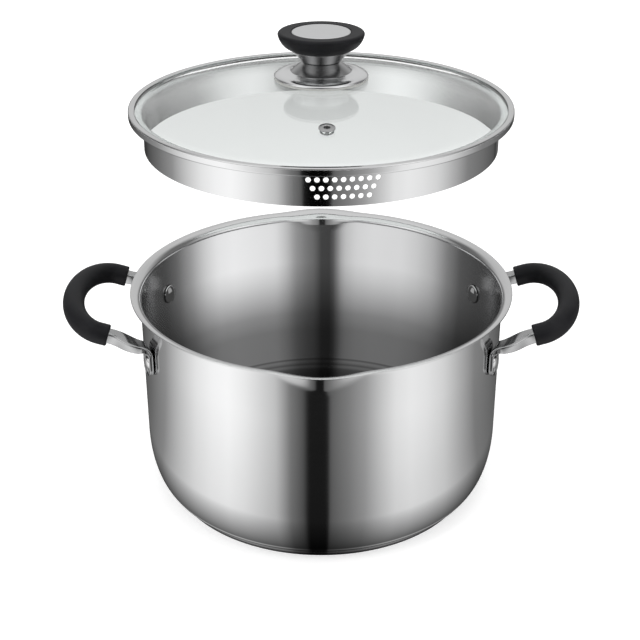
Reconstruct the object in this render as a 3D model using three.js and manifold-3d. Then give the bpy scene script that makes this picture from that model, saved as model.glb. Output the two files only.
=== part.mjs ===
// A stovetop pasta pot with a strainer lid, in millimetres, +Z up.
// The origin is the middle of the base, on the table. The spouts face -Y (front) and +Y (back),
// the handles +X and -X. The lid hangs above the pot, in line with it.
import * as THREE from 'three';
import { mergeVertices } from 'three/addons/utils/BufferGeometryUtils.js';
import Module from 'manifold-3d';

const manifold = await Module();
manifold.setup();

// Gap kept between two pieces that touch on the real pot
const CONTACT = 0.3;

// Pot shell
const WALL_RADIUS = 122.3; // outside of the straight wall
const WALL_SHEET = 1;
const POT_HEIGHT = 148; // table to lip
const BOWL_INSET = 13.8; // how far the wall draws in towards the base
const BOWL_RISE = 38.8; // height over which it does so
const LIP_FLARE = 6.5; // how far the lip stands out from the wall
const LIP_DEPTH = 6; // height of the flare
const SPOUT_REACH = 5; // how far a spout stands out from the lip
const SPOUT_HALF_WIDTH = 36; // along the lip
const SPOUT_DEPTH = 15; // from the lip down the wall

// Sandwich base
const CAP_SHEET = 1;
const CAP_CORNER = 3; // rounding of the cap's lower edge
const CORE_THICKNESS = 4.1;

// Handles
const RIVET_AZIMUTH = 65.5; // degrees from a spout to the nearest foot
const RIVET_DROP = 33.2; // rivet centre below the lip
const RIVET_SHANK_RADIUS = 3;
const RIVET_HEAD_RADIUS = 5; // dome outside, on the foot
const RIVET_HEAD_HEIGHT = 2.6;
const RIVET_INNER_RADIUS = 7; // dome inside the pot
const RIVET_INNER_HEIGHT = 3;
const CHANNEL_SHEET = 1.5;
const FOOT_WIDTH = 14;
const FOOT_LIP = 3.2; // depth of the channel on the foot
const FOOT_TAIL = 10; // rivet centre to the foot's round end
const BEND_RADIUS = 8;
const BEND_SHARE = 0.5; // how much of the narrowing from foot to leg the bend takes
const LEG_EASE = 1 / 3; // share of the leg over which it turns at each end
const CHANNEL_WIDTH = 8.6; // on the leg and in the grip
const CHANNEL_DEPTH = 7.5;
const HANDLE_SLOPE = 16.7; // degrees, rising outwards
const LOOP_DROP = 11.3; // top of the channel below the lip, where the loop starts
const LOOP_GAP = 22.7; // wall to the start of the loop
const LOOP_DEPTH = 22.6; // start of the loop to its tip, at the channel's middle
const LOOP_HALF_WIDTH = 45.5;
const GRIP_LEAD = 7; // straight part of the grip before the loop
const GRIP_RADIUS = 7.2;

// Lid
const LID_RAISE = 121.5; // underside of the lid's flange above the lip
const LID_INSET = 7; // lip edge to the lid ring's edge, which sits down in the flare
const RING_SHEET = 0.6;
const RING_CORNER = 0.8; // rounding of the crimped edge
const RING_COVER = 4; // how far the crimp reaches over the glass
const SKIRT_CLEARANCE = 8.3; // pot wall to skirt
const SKIRT_DEPTH = 20.9;
const GLASS_THICKNESS = 3.2;
const GLASS_BORDER = 5; // flat edge of the glass
const GLASS_RISE = 17.5; // height of the dome

// Strainer holes: rows from the top down
const FINE_HOLE_RADIUS = 1.75;
const FINE_PITCH = 5;
const FINE_ROW_STEP = 5.1;
const FINE_FIRST_ROW = 5; // below the flange
const FINE_COUNTS = [9, 8, 7];
const FINE_AZIMUTH = 6.4; // degrees to the right of the front spout
const COARSE_HOLE_RADIUS = 2.75;
const COARSE_PITCH = 9;
const COARSE_ROW_STEP = 8;
const COARSE_FIRST_ROW = 8;
const COARSE_COUNTS = [5, 4];

// Steam vent
const VENT_OFFSET = 79; // from the lid's middle
const VENT_AZIMUTH = 2.4; // degrees to the right of the front
const VENT_FLANGE_RADIUS = 5;
const VENT_TUBE_RADIUS = 3.2;
const VENT_BORE_RADIUS = 1.8;
const VENT_FLANGE = 1.2;

// Knob
const KNOB_BASE_RADIUS = 29.7;
const KNOB_BASE_RIM = 2.2; // height of the flange's rounded edge
const KNOB_BASE_ROUND = 6; // width of that rounding
const KNOB_SHOULDER_RADIUS = 19.5; // foot and top of the two cones
const KNOB_SHOULDER = 0.8; // rise of the flange from its edge to the lower cone
const KNOB_WAIST_RADIUS = 12; // where the cones meet
const KNOB_WAIST_LOWER = 6.2; // shoulder to waist
const KNOB_WAIST_UPPER = 7.5; // waist to grip
const KNOB_SHEET = 1.2;
const KNOB_GRIP_RADIUS = 27.1;
const KNOB_GRIP_FLARE = 8.8; // grip's foot to its widest line
const KNOB_GRIP_CROWN = 1.7; // widest line to the flat top
const KNOB_GRIP_EDGE = 2.2; // widest line in to the flat top
const KNOB_INLAY_RADIUS = 18.4;
const KNOB_INLAY_THICKNESS = 1.5;
const KNOB_TOP_WEB = 2; // grip left between insert and inlay
const INSERT_RADIUS = 6;
const SCREW_RADIUS = 2.5;
const SCREW_HEAD_RADIUS = 5;
const SCREW_HEAD_HEIGHT = 3;
const SCREW_ENGAGEMENT = 9; // thread in the insert
const WASHER_RADIUS = 9;
const WASHER_THICKNESS = 1.2;
const GASKET_THICKNESS = 1;
const GASKET_WIDTH = 5;
const LOWER_GASKET_RADIUS = 10;

// How finely round shapes are cut
const POT_STEP = 7.25; // degrees
const SPOUT_STEP = 2.5;
const LID_SIDES = 60;
const GLASS_SIDES = 44;
const BASE_SIDES = 48;
const KNOB_SIDES = 24;
const SMALL_SIDES = 12;
const STRAINER_SIDES = 8;
const BOWL_STEPS = 5; // steps along the arcs of a profile
const FLARE_STEPS = 3;
const CAP_STEPS = 3;
const DOME_STEPS = 5;
const CORNER_STEPS = 2;
const RIVET_STEPS = 3;
const KNOB_STEPS = 4;
const FOOT_END_STEPS = 3; // stations along the handle's path
const BEND_STEPS = 5;
const LEG_STEPS = 4;
const LOOP_STEPS = 8;

// Places worked out from the sizes
const radians = THREE.MathUtils.degToRad;
const degrees = THREE.MathUtils.radToDeg;
const LIP_RADIUS = WALL_RADIUS + LIP_FLARE;
const INNER_RADIUS = WALL_RADIUS - WALL_SHEET;
const FLOOR_RADIUS = WALL_RADIUS - BOWL_INSET;
const CORE_BOTTOM = CAP_SHEET + CONTACT;
const FLOOR_HEIGHT = CORE_BOTTOM + CORE_THICKNESS + CONTACT; // underside of the shell
const FLANGE_HEIGHT = POT_HEIGHT + LID_RAISE;
const RING_RADIUS = LIP_RADIUS - LID_INSET;
const SKIRT_RADIUS = INNER_RADIUS - SKIRT_CLEARANCE;
const GLASS_BOTTOM = FLANGE_HEIGHT + RING_SHEET + CONTACT;
const GLASS_TOP = GLASS_BOTTOM + GLASS_THICKNESS;
const RING_TOP = GLASS_TOP + CONTACT + RING_SHEET;
const GLASS_RADIUS = RING_RADIUS - RING_SHEET - CONTACT;
const DOME_RADIUS = GLASS_RADIUS - GLASS_BORDER;
const DOME_CURVE = (DOME_RADIUS ** 2 + GLASS_RISE ** 2) / (2 * GLASS_RISE);
const SCREW_HOLE_RADIUS = SCREW_RADIUS + CONTACT;

// Height of the glass's upper face at a distance from the middle
function glassHeight(distance) {
  const drop = DOME_CURVE - Math.sqrt(DOME_CURVE ** 2 - distance ** 2);
  return GLASS_TOP + GLASS_RISE - drop;
}

const steel = { color: 0xc9cbcd, roughness: 0.18, metalness: 1 };
const satinSteel = { color: 0xb9bbbd, roughness: 0.32, metalness: 1 };
const aluminium = { color: 0xb4b6b8, roughness: 0.45, metalness: 1 };
const blackSilicone = { color: 0x17181a, roughness: 0.62, metalness: 0 };
const paleSilicone = { color: 0xd9dad6, roughness: 0.6, metalness: 0 };
const clearGlass = { color: 0xeaf2f0, roughness: 0.03, metalness: 0, transparent: true, opacity: 0.3 };

const assembly = new THREE.Group();

function addPiece(name, geometry, finish, parent = assembly) {
  const piece = new THREE.Mesh(geometry, new THREE.MeshStandardMaterial(finish));
  piece.name = name;
  parent.add(piece);
  return piece;
}

// Positions only, shared vertices merged, flat slivers dropped and faces turned outwards
function closedGeometry(geometry) {
  geometry.deleteAttribute('normal');
  geometry.deleteAttribute('uv');
  const merged = mergeVertices(geometry, 1e-4);
  const position = merged.getAttribute('position');
  const index = merged.getIndex().array;
  const faces = [];
  let volume = 0;
  const a = new THREE.Vector3();
  const b = new THREE.Vector3();
  const c = new THREE.Vector3();
  for (let i = 0; i < index.length; i += 3) {
    const [ia, ib, ic] = [index[i], index[i + 1], index[i + 2]];
    if (ia === ib || ib === ic || ic === ia) continue;
    faces.push([ia, ib, ic]);
    a.fromBufferAttribute(position, ia);
    b.fromBufferAttribute(position, ib);
    c.fromBufferAttribute(position, ic);
    volume += a.dot(b.cross(c));
  }
  const outwards = volume < 0 ? faces.map(([ia, ib, ic]) => [ia, ic, ib]) : faces;
  merged.setIndex(outwards.flat());
  return merged;
}

function toSolid(geometry) {
  const closed = closedGeometry(geometry);
  return new manifold.Manifold(new manifold.Mesh({
    numProp: 3,
    vertProperties: new Float32Array(closed.getAttribute('position').array),
    triVerts: new Uint32Array(closed.getIndex().array),
  }));
}

function toGeometry(solid) {
  const mesh = solid.getMesh();
  const geometry = new THREE.BufferGeometry();
  geometry.setAttribute('position', new THREE.BufferAttribute(new Float32Array(mesh.vertProperties), 3));
  geometry.setIndex(new THREE.BufferAttribute(new Uint32Array(mesh.triVerts), 1));
  return geometry;
}

function cutHoles(geometry, cutters) {
  const solid = cutters.reduce((rest, cutter) => rest.subtract(toSolid(cutter)), toSolid(geometry));
  return toGeometry(solid);
}

// A profile of [radius, height] pairs turned round the Z axis
function turned(profile, sides) {
  const points = profile.map(([radius, height]) => new THREE.Vector2(radius, height));
  return closedGeometry(new THREE.LatheGeometry(points, sides).rotateX(Math.PI / 2));
}

// The same, for a profile that goes round a hole and so ends where it starts
function turnedRing(profile, sides) {
  return turned([...profile, profile[0]], sides);
}

// Points on a quarter of an ellipse, from one angle to another in degrees
function quarter(centre, reach, from, to, steps) {
  return Array.from({ length: steps + 1 }, (_, i) => {
    const angle = radians(THREE.MathUtils.lerp(from, to, i / steps));
    return [centre[0] + reach[0] * Math.cos(angle), centre[1] + reach[1] * Math.sin(angle)];
  });
}

// Skins a row of rings, each a list of points, and closes both ends with the ring's own outline
function loft(rings, outline) {
  const size = outline.length;
  const index = [];
  for (let i = 0; i + 1 < rings.length; i += 1) {
    for (let j = 0; j < size; j += 1) {
      const next = (j + 1) % size;
      const [a, b] = [i * size + j, i * size + next];
      index.push(a, b, a + size, b, b + size, a + size);
    }
  }
  const last = (rings.length - 1) * size;
  for (const [a, b, c] of THREE.ShapeUtils.triangulateShape(outline, [])) {
    index.push(a, c, b, last + a, last + b, last + c);
  }
  const geometry = new THREE.BufferGeometry().setFromPoints(rings.flat());
  geometry.setIndex(index);
  return closedGeometry(geometry);
}

// A cylinder whose axis runs outwards from Z at an azimuth counted from the front, for piercing a wall
function radialCutter({ radius, sides, azimuth, height, from, to }) {
  const cutter = new THREE.CylinderGeometry(radius, radius, to - from, sides);
  cutter.translate(0, -(from + to) / 2, height);
  cutter.rotateZ(azimuth);
  return cutter;
}

// Pot shell

// Columns round the pot, closer together across the two spouts
function potAzimuths() {
  const spread = Math.ceil(degrees(SPOUT_HALF_WIDTH / LIP_RADIUS) / SPOUT_STEP) * SPOUT_STEP;
  const plain = 180 - 2 * spread;
  const plainSteps = Math.round(plain / POT_STEP);
  const half = [];
  for (let angle = -spread; angle < spread; angle += SPOUT_STEP) half.push(angle);
  for (let i = 0; i < plainSteps; i += 1) half.push(spread + (plain * i) / plainSteps);
  return [...half, ...half.map((angle) => angle + 180)].map(radians);
}

// How far a spout pushes the shell out: most at the lip, narrowing to nothing down the wall
function spoutPush(azimuth, height) {
  const up = (height - (POT_HEIGHT - SPOUT_DEPTH)) / SPOUT_DEPTH;
  if (up <= 0) return 0;
  const fromSpout = Math.abs(Math.asin(Math.sin(azimuth)));
  const across = (fromSpout * LIP_RADIUS) / (SPOUT_HALF_WIDTH * Math.sqrt(up));
  return across >= 1 ? 0 : SPOUT_REACH * up * Math.cos((across * Math.PI) / 2) ** 2;
}

function potProfile() {
  const flareFoot = POT_HEIGHT - LIP_DEPTH;
  const spoutFoot = POT_HEIGHT - SPOUT_DEPTH;
  const bowlCentre = [FLOOR_RADIUS, FLOOR_HEIGHT + BOWL_RISE];
  const lipCentre = [LIP_RADIUS, flareFoot];
  const outerBowl = quarter(bowlCentre, [BOWL_INSET, BOWL_RISE], -90, 0, BOWL_STEPS);
  const innerBowl = quarter(
    bowlCentre, [BOWL_INSET - WALL_SHEET, BOWL_RISE - WALL_SHEET], 0, -90, BOWL_STEPS);
  const outerFlare = quarter(lipCentre, [LIP_FLARE, LIP_DEPTH - WALL_SHEET], 180, 90, FLARE_STEPS);
  const innerFlare = quarter(lipCentre, [LIP_FLARE + WALL_SHEET, LIP_DEPTH], 90, 180, FLARE_STEPS);
  return [
    [0, FLOOR_HEIGHT],
    ...outerBowl,
    [WALL_RADIUS, spoutFoot],
    ...outerFlare,
    ...innerFlare,
    [INNER_RADIUS, spoutFoot],
    ...innerBowl,
    [0, FLOOR_HEIGHT + WALL_SHEET],
  ];
}

// A rivet's hole through the wall and through the handle's foot
function rivetHole(azimuth) {
  return radialCutter({
    radius: RIVET_SHANK_RADIUS + CONTACT,
    sides: SMALL_SIDES,
    azimuth,
    height: POT_HEIGHT - RIVET_DROP,
    from: INNER_RADIUS - RIVET_INNER_RADIUS,
    to: WALL_RADIUS + CHANNEL_SHEET + FOOT_LIP,
  });
}

function potShell() {
  const profile = potProfile();
  const azimuths = potAzimuths();
  const points = azimuths.flatMap((azimuth) => profile.map(([radius, height]) => {
    const reach = radius + (radius > 0 ? spoutPush(azimuth, height) : 0);
    return new THREE.Vector3(reach * Math.sin(azimuth), -reach * Math.cos(azimuth), height);
  }));
  const index = [];
  const size = profile.length;
  azimuths.forEach((_, column) => {
    const here = column * size;
    const beside = ((column + 1) % azimuths.length) * size;
    for (let j = 0; j + 1 < size; j += 1) {
      index.push(here + j, beside + j, here + j + 1, beside + j, beside + j + 1, here + j + 1);
    }
  });
  const shell = new THREE.BufferGeometry().setFromPoints(points);
  shell.setIndex(index);
  return cutHoles(shell, footAzimuths().map(rivetHole));
}

// Right front, right rear, left rear and left front foot, counted from the front
function footAzimuths() {
  const front = radians(RIVET_AZIMUTH);
  return [front, Math.PI - front, Math.PI + front, -front];
}

addPiece('pot_body', potShell(), steel);

// Sandwich base
const capTop = FLOOR_HEIGHT - CONTACT;
const capInner = FLOOR_RADIUS - CAP_SHEET;
const capCornerInner = CAP_CORNER - CAP_SHEET;
const capCentre = [FLOOR_RADIUS - CAP_CORNER, CAP_CORNER];
addPiece('base_cap', turned([
  [0, 0],
  ...quarter(capCentre, [CAP_CORNER, CAP_CORNER], -90, 0, CAP_STEPS),
  [FLOOR_RADIUS, capTop],
  [capInner, capTop],
  ...quarter(capCentre, [capCornerInner, capCornerInner], 0, -90, CORNER_STEPS),
  [0, CAP_SHEET],
], BASE_SIDES), satinSteel);

const coreRadius = capInner - CONTACT;
addPiece('base_core', turned([
  [0, CORE_BOTTOM],
  [coreRadius - CAP_CORNER, CORE_BOTTOM],
  [coreRadius, CORE_BOTTOM + CAP_CORNER],
  [coreRadius, CORE_BOTTOM + CORE_THICKNESS],
  [0, CORE_BOTTOM + CORE_THICKNESS],
], BASE_SIDES), aluminium);

// Handles: a channel that lies on the wall as a foot, bends out and runs round in a rising loop.
// The path follows the channel's back, which touches the wall on the foot and faces up on the loop.

const slope = radians(HANDLE_SLOPE);
const loopStart = WALL_RADIUS + LOOP_GAP;
const footBack = WALL_RADIUS + CONTACT;

// One half of the path, from the front foot's end to the tip of the loop
function halfPath() {
  const azimuth = radians(RIVET_AZIMUTH);
  const outwards = new THREE.Vector2(Math.sin(azimuth), -Math.cos(azimuth));
  const along = new THREE.Vector3(Math.cos(azimuth), Math.sin(azimuth), 0);
  const foot = outwards.clone().multiplyScalar(footBack);
  const gripStart = new THREE.Vector2(loopStart - GRIP_LEAD, -LOOP_HALF_WIDTH);
  const legLength = gripStart.distanceTo(foot);
  // The leg leaves the wall halfway between square to it and straight at the grip
  const straight = gripStart.clone().sub(foot).normalize();
  const leave = outwards.clone().add(straight).normalize();
  const bendReach = BEND_RADIUS * (1 - Math.sin(slope));
  const bendEnd = foot.clone().addScaledVector(leave, bendReach);
  const heightAt = (x) => POT_HEIGHT - LOOP_DROP + (x - loopStart) * Math.tan(slope);
  const bendFoot = heightAt(bendEnd.x) - BEND_RADIUS * Math.cos(slope);
  const footEnd = POT_HEIGHT - RIVET_DROP - FOOT_TAIL;
  const endRadius = FOOT_WIDTH / 2;
  const stations = [];
  const level = (plan, forward, spread) => stations.push({
    point: new THREE.Vector3(plan.x, plan.y, heightAt(plan.x)),
    side: new THREE.Vector3(-forward.y, forward.x, 0).normalize(),
    spread,
  });

  // Foot, rounded at its end
  for (let i = 1; i <= FOOT_END_STEPS; i += 1) {
    const turn = (Math.PI / 2) * (i / FOOT_END_STEPS);
    stations.push({
      point: new THREE.Vector3(foot.x, foot.y, footEnd + endRadius * (1 - Math.cos(turn))),
      side: along,
      spread: 0,
      width: FOOT_WIDTH * Math.sin(turn),
    });
  }

  // Bend, turning the channel from the wall towards the leg
  const legSide = new THREE.Vector3(-leave.y, leave.x, 0);
  for (let i = 0; i <= BEND_STEPS; i += 1) {
    const share = i / BEND_STEPS;
    const turn = (Math.PI / 2 - slope) * share;
    const plan = foot.clone().addScaledVector(leave, BEND_RADIUS * (1 - Math.cos(turn)));
    stations.push({
      point: new THREE.Vector3(plan.x, plan.y, bendFoot + BEND_RADIUS * Math.sin(turn)),
      side: along.clone().lerp(legSide, share ** 2).normalize(),
      spread: share * BEND_SHARE,
    });
  }

  // Leg, easing from that direction to the grip's
  const pull = legLength * LEG_EASE;
  const leg = new THREE.CubicBezierCurve(
    bendEnd, bendEnd.clone().addScaledVector(leave, pull),
    gripStart.clone().sub(new THREE.Vector2(pull, 0)), gripStart);
  for (let i = 1; i <= LEG_STEPS; i += 1) {
    const share = i / LEG_STEPS;
    level(leg.getPoint(share), leg.getTangent(share), THREE.MathUtils.lerp(BEND_SHARE, 1, share));
  }
  stations.at(-1).gripStart = true;

  // Loop, a quarter of an ellipse to its tip
  const loop = new THREE.EllipseCurve(loopStart, 0, LOOP_DEPTH, LOOP_HALF_WIDTH, -Math.PI / 2, 0);
  for (let i = 0; i <= LOOP_STEPS; i += 1) {
    const share = i / LOOP_STEPS;
    level(loop.getPoint(share), loop.getTangent(share), 1);
  }
  return stations;
}

// Both halves, with the channel's width, depth and three directions at each station
function handleStations() {
  const half = halfPath();
  const mirror = new THREE.Vector3(1, -1, 1);
  const other = half.slice(0, -1).reverse().map((station) => ({
    ...station,
    point: station.point.clone().multiply(mirror),
    side: station.side.clone().multiply(mirror),
  }));
  const stations = [...half, ...other];
  return stations.map((station, i) => {
    const before = stations[Math.max(i - 1, 0)].point;
    const after = stations[Math.min(i + 1, stations.length - 1)].point;
    const forward = after.clone().sub(before).normalize();
    const side = station.side.clone().addScaledVector(forward, -station.side.dot(forward)).normalize();
    const smooth = THREE.MathUtils.smoothstep(station.spread, 0, 1);
    return {
      ...station,
      side,
      inwards: side.clone().cross(forward),
      width: station.width ?? THREE.MathUtils.lerp(FOOT_WIDTH, CHANNEL_WIDTH, smooth),
      depth: THREE.MathUtils.lerp(FOOT_LIP, CHANNEL_DEPTH, smooth),
    };
  });
}

function placeOutline(station, outline) {
  return outline.map(({ x, y }) => station.point.clone()
    .addScaledVector(station.side, x)
    .addScaledVector(station.inwards, y));
}

// The channel's section: its back lies on y = 0 and its two edges stand up from it
function channelOutline({ width, depth }) {
  const half = width / 2;
  const inner = half - CHANNEL_SHEET;
  return [
    [-half, depth], [-half, 0], [half, 0], [half, depth],
    [inner, depth], [inner, CHANNEL_SHEET], [-inner, CHANNEL_SHEET], [-inner, depth],
  ].map(([x, y]) => new THREE.Vector2(x, y));
}

function handleFrame(stations) {
  const rings = stations.map((station) => placeOutline(station, channelOutline(station)));
  const holes = footAzimuths().slice(0, 2).map(rivetHole);
  return cutHoles(loft(rings, channelOutline(stations[0])), holes);
}

function handleGrip(stations) {
  const first = stations.findIndex((station) => station.gripStart);
  const covered = stations.slice(first, stations.length - first);
  const middle = CHANNEL_DEPTH / 2;
  const round = Array.from({ length: SMALL_SIDES }, (_, i) => {
    const angle = (2 * Math.PI * i) / SMALL_SIDES;
    return new THREE.Vector2(GRIP_RADIUS * Math.cos(angle), middle + GRIP_RADIUS * Math.sin(angle));
  });
  const half = CHANNEL_WIDTH / 2 + CONTACT;
  const slot = [[-half, -CONTACT], [half, -CONTACT], [half, CHANNEL_DEPTH + CONTACT],
    [-half, CHANNEL_DEPTH + CONTACT]].map(([x, y]) => new THREE.Vector2(x, y));
  const reach = covered.map((station) => ({ ...station, point: station.point.clone() }));
  const overshoot = new THREE.Vector3(-CONTACT * Math.cos(slope), 0, -CONTACT * Math.sin(slope));
  reach[0].point.add(overshoot);
  reach.at(-1).point.add(overshoot);
  const sleeve = loft(covered.map((station) => placeOutline(station, round)), round);
  return cutHoles(sleeve, [loft(reach.map((station) => placeOutline(station, slot)), slot)]);
}

// A rivet along +X, set through the wall and the foot
function rivet() {
  const innerSeat = Math.sqrt(INNER_RADIUS ** 2 - RIVET_INNER_RADIUS ** 2) - CONTACT;
  const outerSeat = footBack + CHANNEL_SHEET + CONTACT;
  return turned([
    ...quarter([0, innerSeat], [RIVET_INNER_RADIUS, RIVET_INNER_HEIGHT], -90, 0, RIVET_STEPS),
    [RIVET_SHANK_RADIUS, innerSeat],
    [RIVET_SHANK_RADIUS, outerSeat],
    ...quarter([0, outerSeat], [RIVET_HEAD_RADIUS, RIVET_HEAD_HEIGHT], 0, 90, RIVET_STEPS),
  ], SMALL_SIDES).rotateY(Math.PI / 2);
}

const stations = handleStations();
for (const [hand, turn] of [['right', 0], ['left', Math.PI]]) {
  const handle = new THREE.Group();
  handle.rotation.z = turn;
  assembly.add(handle);
  addPiece(`handle_${hand}_frame`, handleFrame(stations), steel, handle);
  addPiece(`handle_${hand}_grip`, handleGrip(stations), blackSilicone, handle);
}

const rivetNames = ['rivet_right_front', 'rivet_right_rear', 'rivet_left_rear', 'rivet_left_front'];
footAzimuths().forEach((azimuth, i) => {
  const piece = addPiece(rivetNames[i], rivet(), steel);
  piece.rotation.z = azimuth - Math.PI / 2;
  piece.position.z = POT_HEIGHT - RIVET_DROP;
});

// Lid ring: a crimp round the glass, a flange that sits on the lip and a skirt with the strainer holes

// Rows of holes centred on an azimuth, each row half a pitch out of step with the next
function strainerCutters({ radius, pitch, rowStep, firstRow, counts, azimuth }) {
  return counts.flatMap((count, row) => Array.from({ length: count }, (_, i) => radialCutter({
    radius,
    sides: STRAINER_SIDES,
    azimuth: azimuth + ((i - (count - 1) / 2) * pitch) / SKIRT_RADIUS,
    height: FLANGE_HEIGHT - firstRow - row * rowStep,
    from: SKIRT_RADIUS - RING_SHEET - SKIRT_CLEARANCE,
    to: SKIRT_RADIUS + SKIRT_CLEARANCE,
  })));
}

function lidRing() {
  const crimpInner = RING_RADIUS - RING_COVER;
  const cornerCentre = [RING_RADIUS - RING_CORNER, RING_TOP - RING_CORNER];
  const skirtInner = SKIRT_RADIUS - RING_SHEET;
  const ring = turnedRing([
    [crimpInner, RING_TOP],
    ...quarter(cornerCentre, [RING_CORNER, RING_CORNER], 90, 0, CORNER_STEPS),
    [RING_RADIUS, FLANGE_HEIGHT],
    [SKIRT_RADIUS, FLANGE_HEIGHT],
    [SKIRT_RADIUS, FLANGE_HEIGHT - SKIRT_DEPTH],
    [skirtInner, FLANGE_HEIGHT - SKIRT_DEPTH],
    [skirtInner, FLANGE_HEIGHT + RING_SHEET],
    [RING_RADIUS - RING_SHEET, FLANGE_HEIGHT + RING_SHEET],
    [RING_RADIUS - RING_SHEET, RING_TOP - RING_SHEET],
    [crimpInner, RING_TOP - RING_SHEET],
  ], LID_SIDES);
  const fine = strainerCutters({
    radius: FINE_HOLE_RADIUS,
    pitch: FINE_PITCH,
    rowStep: FINE_ROW_STEP,
    firstRow: FINE_FIRST_ROW,
    counts: FINE_COUNTS,
    azimuth: radians(FINE_AZIMUTH),
  });
  const coarse = strainerCutters({
    radius: COARSE_HOLE_RADIUS,
    pitch: COARSE_PITCH,
    rowStep: COARSE_ROW_STEP,
    firstRow: COARSE_FIRST_ROW,
    counts: COARSE_COUNTS,
    azimuth: Math.PI,
  });
  return cutHoles(ring, [...fine, ...coarse]);
}

addPiece('lid_ring', lidRing(), steel);

// Domed glass, with the vent's hole square to its surface
const ventAngle = Math.asin(VENT_OFFSET / DOME_CURVE);
const ventPlace = new THREE.Vector3(0, -VENT_OFFSET, glassHeight(VENT_OFFSET))
  .applyAxisAngle(new THREE.Vector3(0, 0, 1), radians(VENT_AZIMUTH));

// Stands a piece that is made along +Z on the dome, at the vent
function setAtVent(object) {
  object.rotateZ(radians(VENT_AZIMUTH));
  object.rotateX(ventAngle);
  object.position.copy(ventPlace);
  object.updateMatrix();
  return object;
}

function lidGlass() {
  const rim = Math.asin(DOME_RADIUS / DOME_CURVE);
  const hole = Math.asin(SCREW_HOLE_RADIUS / DOME_CURVE);
  const arc = (lower) => Array.from({ length: DOME_STEPS + 1 }, (_, i) => {
    const distance = DOME_CURVE * Math.sin(THREE.MathUtils.lerp(hole, rim, i / DOME_STEPS));
    return [distance, glassHeight(distance) - lower];
  });
  const pane = turnedRing([
    ...arc(0),
    [GLASS_RADIUS, GLASS_TOP],
    [GLASS_RADIUS, GLASS_BOTTOM],
    ...arc(GLASS_THICKNESS).reverse(),
  ], GLASS_SIDES);
  // The bore is centred on the upper face, and reaches twice the glass's thickness either way
  const boreRadius = VENT_TUBE_RADIUS + CONTACT;
  const bore = new THREE.CylinderGeometry(boreRadius, boreRadius, 4 * GLASS_THICKNESS, SMALL_SIDES);
  bore.rotateX(Math.PI / 2);
  return cutHoles(pane, [bore.applyMatrix4(setAtVent(new THREE.Object3D()).matrix)]);
}

addPiece('lid_glass', lidGlass(), clearGlass);

const ventUnder = -GLASS_THICKNESS - CONTACT;
setAtVent(addPiece('steam_vent', turnedRing([
  [VENT_BORE_RADIUS, CONTACT + VENT_FLANGE],
  [VENT_TUBE_RADIUS, CONTACT + VENT_FLANGE],
  [VENT_FLANGE_RADIUS, CONTACT + VENT_FLANGE / 2],
  [VENT_FLANGE_RADIUS, CONTACT],
  [VENT_TUBE_RADIUS, CONTACT],
  [VENT_TUBE_RADIUS, ventUnder],
  [VENT_FLANGE_RADIUS, ventUnder],
  [VENT_FLANGE_RADIUS, ventUnder - VENT_FLANGE / 2],
  [VENT_BORE_RADIUS, ventUnder - VENT_FLANGE / 2],
], SMALL_SIDES), steel));

// Knob, from the glass up: a silicone ring, a spun flange, a spun cup, and the grip with its inlay

const gasketRadius = KNOB_BASE_RADIUS;
const gasketInner = gasketRadius - GASKET_WIDTH;
const gasketFoot = [gasketInner, gasketRadius].map((radius) => glassHeight(radius) + CONTACT);
addPiece('knob_gasket_upper', turnedRing([
  [gasketInner, gasketFoot[0]],
  [gasketRadius, gasketFoot[1]],
  [gasketRadius, gasketFoot[1] + GASKET_THICKNESS],
  [gasketInner, gasketFoot[0] + GASKET_THICKNESS],
], KNOB_SIDES), paleSilicone);

const baseRim = gasketFoot[0] + GASKET_THICKNESS + CONTACT;
const shoulder = baseRim + KNOB_BASE_RIM + KNOB_SHOULDER;
const waist = shoulder + KNOB_WAIST_LOWER;
const waistReach = KNOB_SHOULDER_RADIUS - KNOB_WAIST_RADIUS;
const coneSheet = KNOB_SHEET * Math.SQRT2; // a cone's sheet, measured level
const baseCentre = [KNOB_BASE_RADIUS - KNOB_BASE_ROUND, baseRim];
const baseInset = coneSheet - (KNOB_SHEET * waistReach) / KNOB_WAIST_LOWER;
addPiece('knob_base', turnedRing([
  ...quarter(baseCentre, [KNOB_BASE_ROUND, KNOB_BASE_RIM], 0, 90, KNOB_STEPS),
  [KNOB_SHOULDER_RADIUS, shoulder],
  [KNOB_WAIST_RADIUS, waist],
  [SCREW_HOLE_RADIUS, waist],
  [SCREW_HOLE_RADIUS, waist - KNOB_SHEET],
  [KNOB_WAIST_RADIUS - baseInset, waist - KNOB_SHEET],
  [KNOB_SHOULDER_RADIUS - baseInset, shoulder - KNOB_SHEET],
  [gasketInner, baseRim],
], KNOB_SIDES), steel);

const stemFoot = waist + CONTACT;
const stemTop = stemFoot + KNOB_WAIST_UPPER;
const stemFloor = stemFoot + KNOB_SHEET;
const stemInset = coneSheet - (KNOB_SHEET * waistReach) / KNOB_WAIST_UPPER;
addPiece('knob_stem', turnedRing([
  [SCREW_HOLE_RADIUS, stemFoot],
  [KNOB_WAIST_RADIUS, stemFoot],
  [KNOB_SHOULDER_RADIUS, stemTop],
  [KNOB_SHOULDER_RADIUS - coneSheet, stemTop],
  [KNOB_WAIST_RADIUS - stemInset, stemFloor],
  [SCREW_HOLE_RADIUS, stemFloor],
], KNOB_SIDES), steel);

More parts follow.
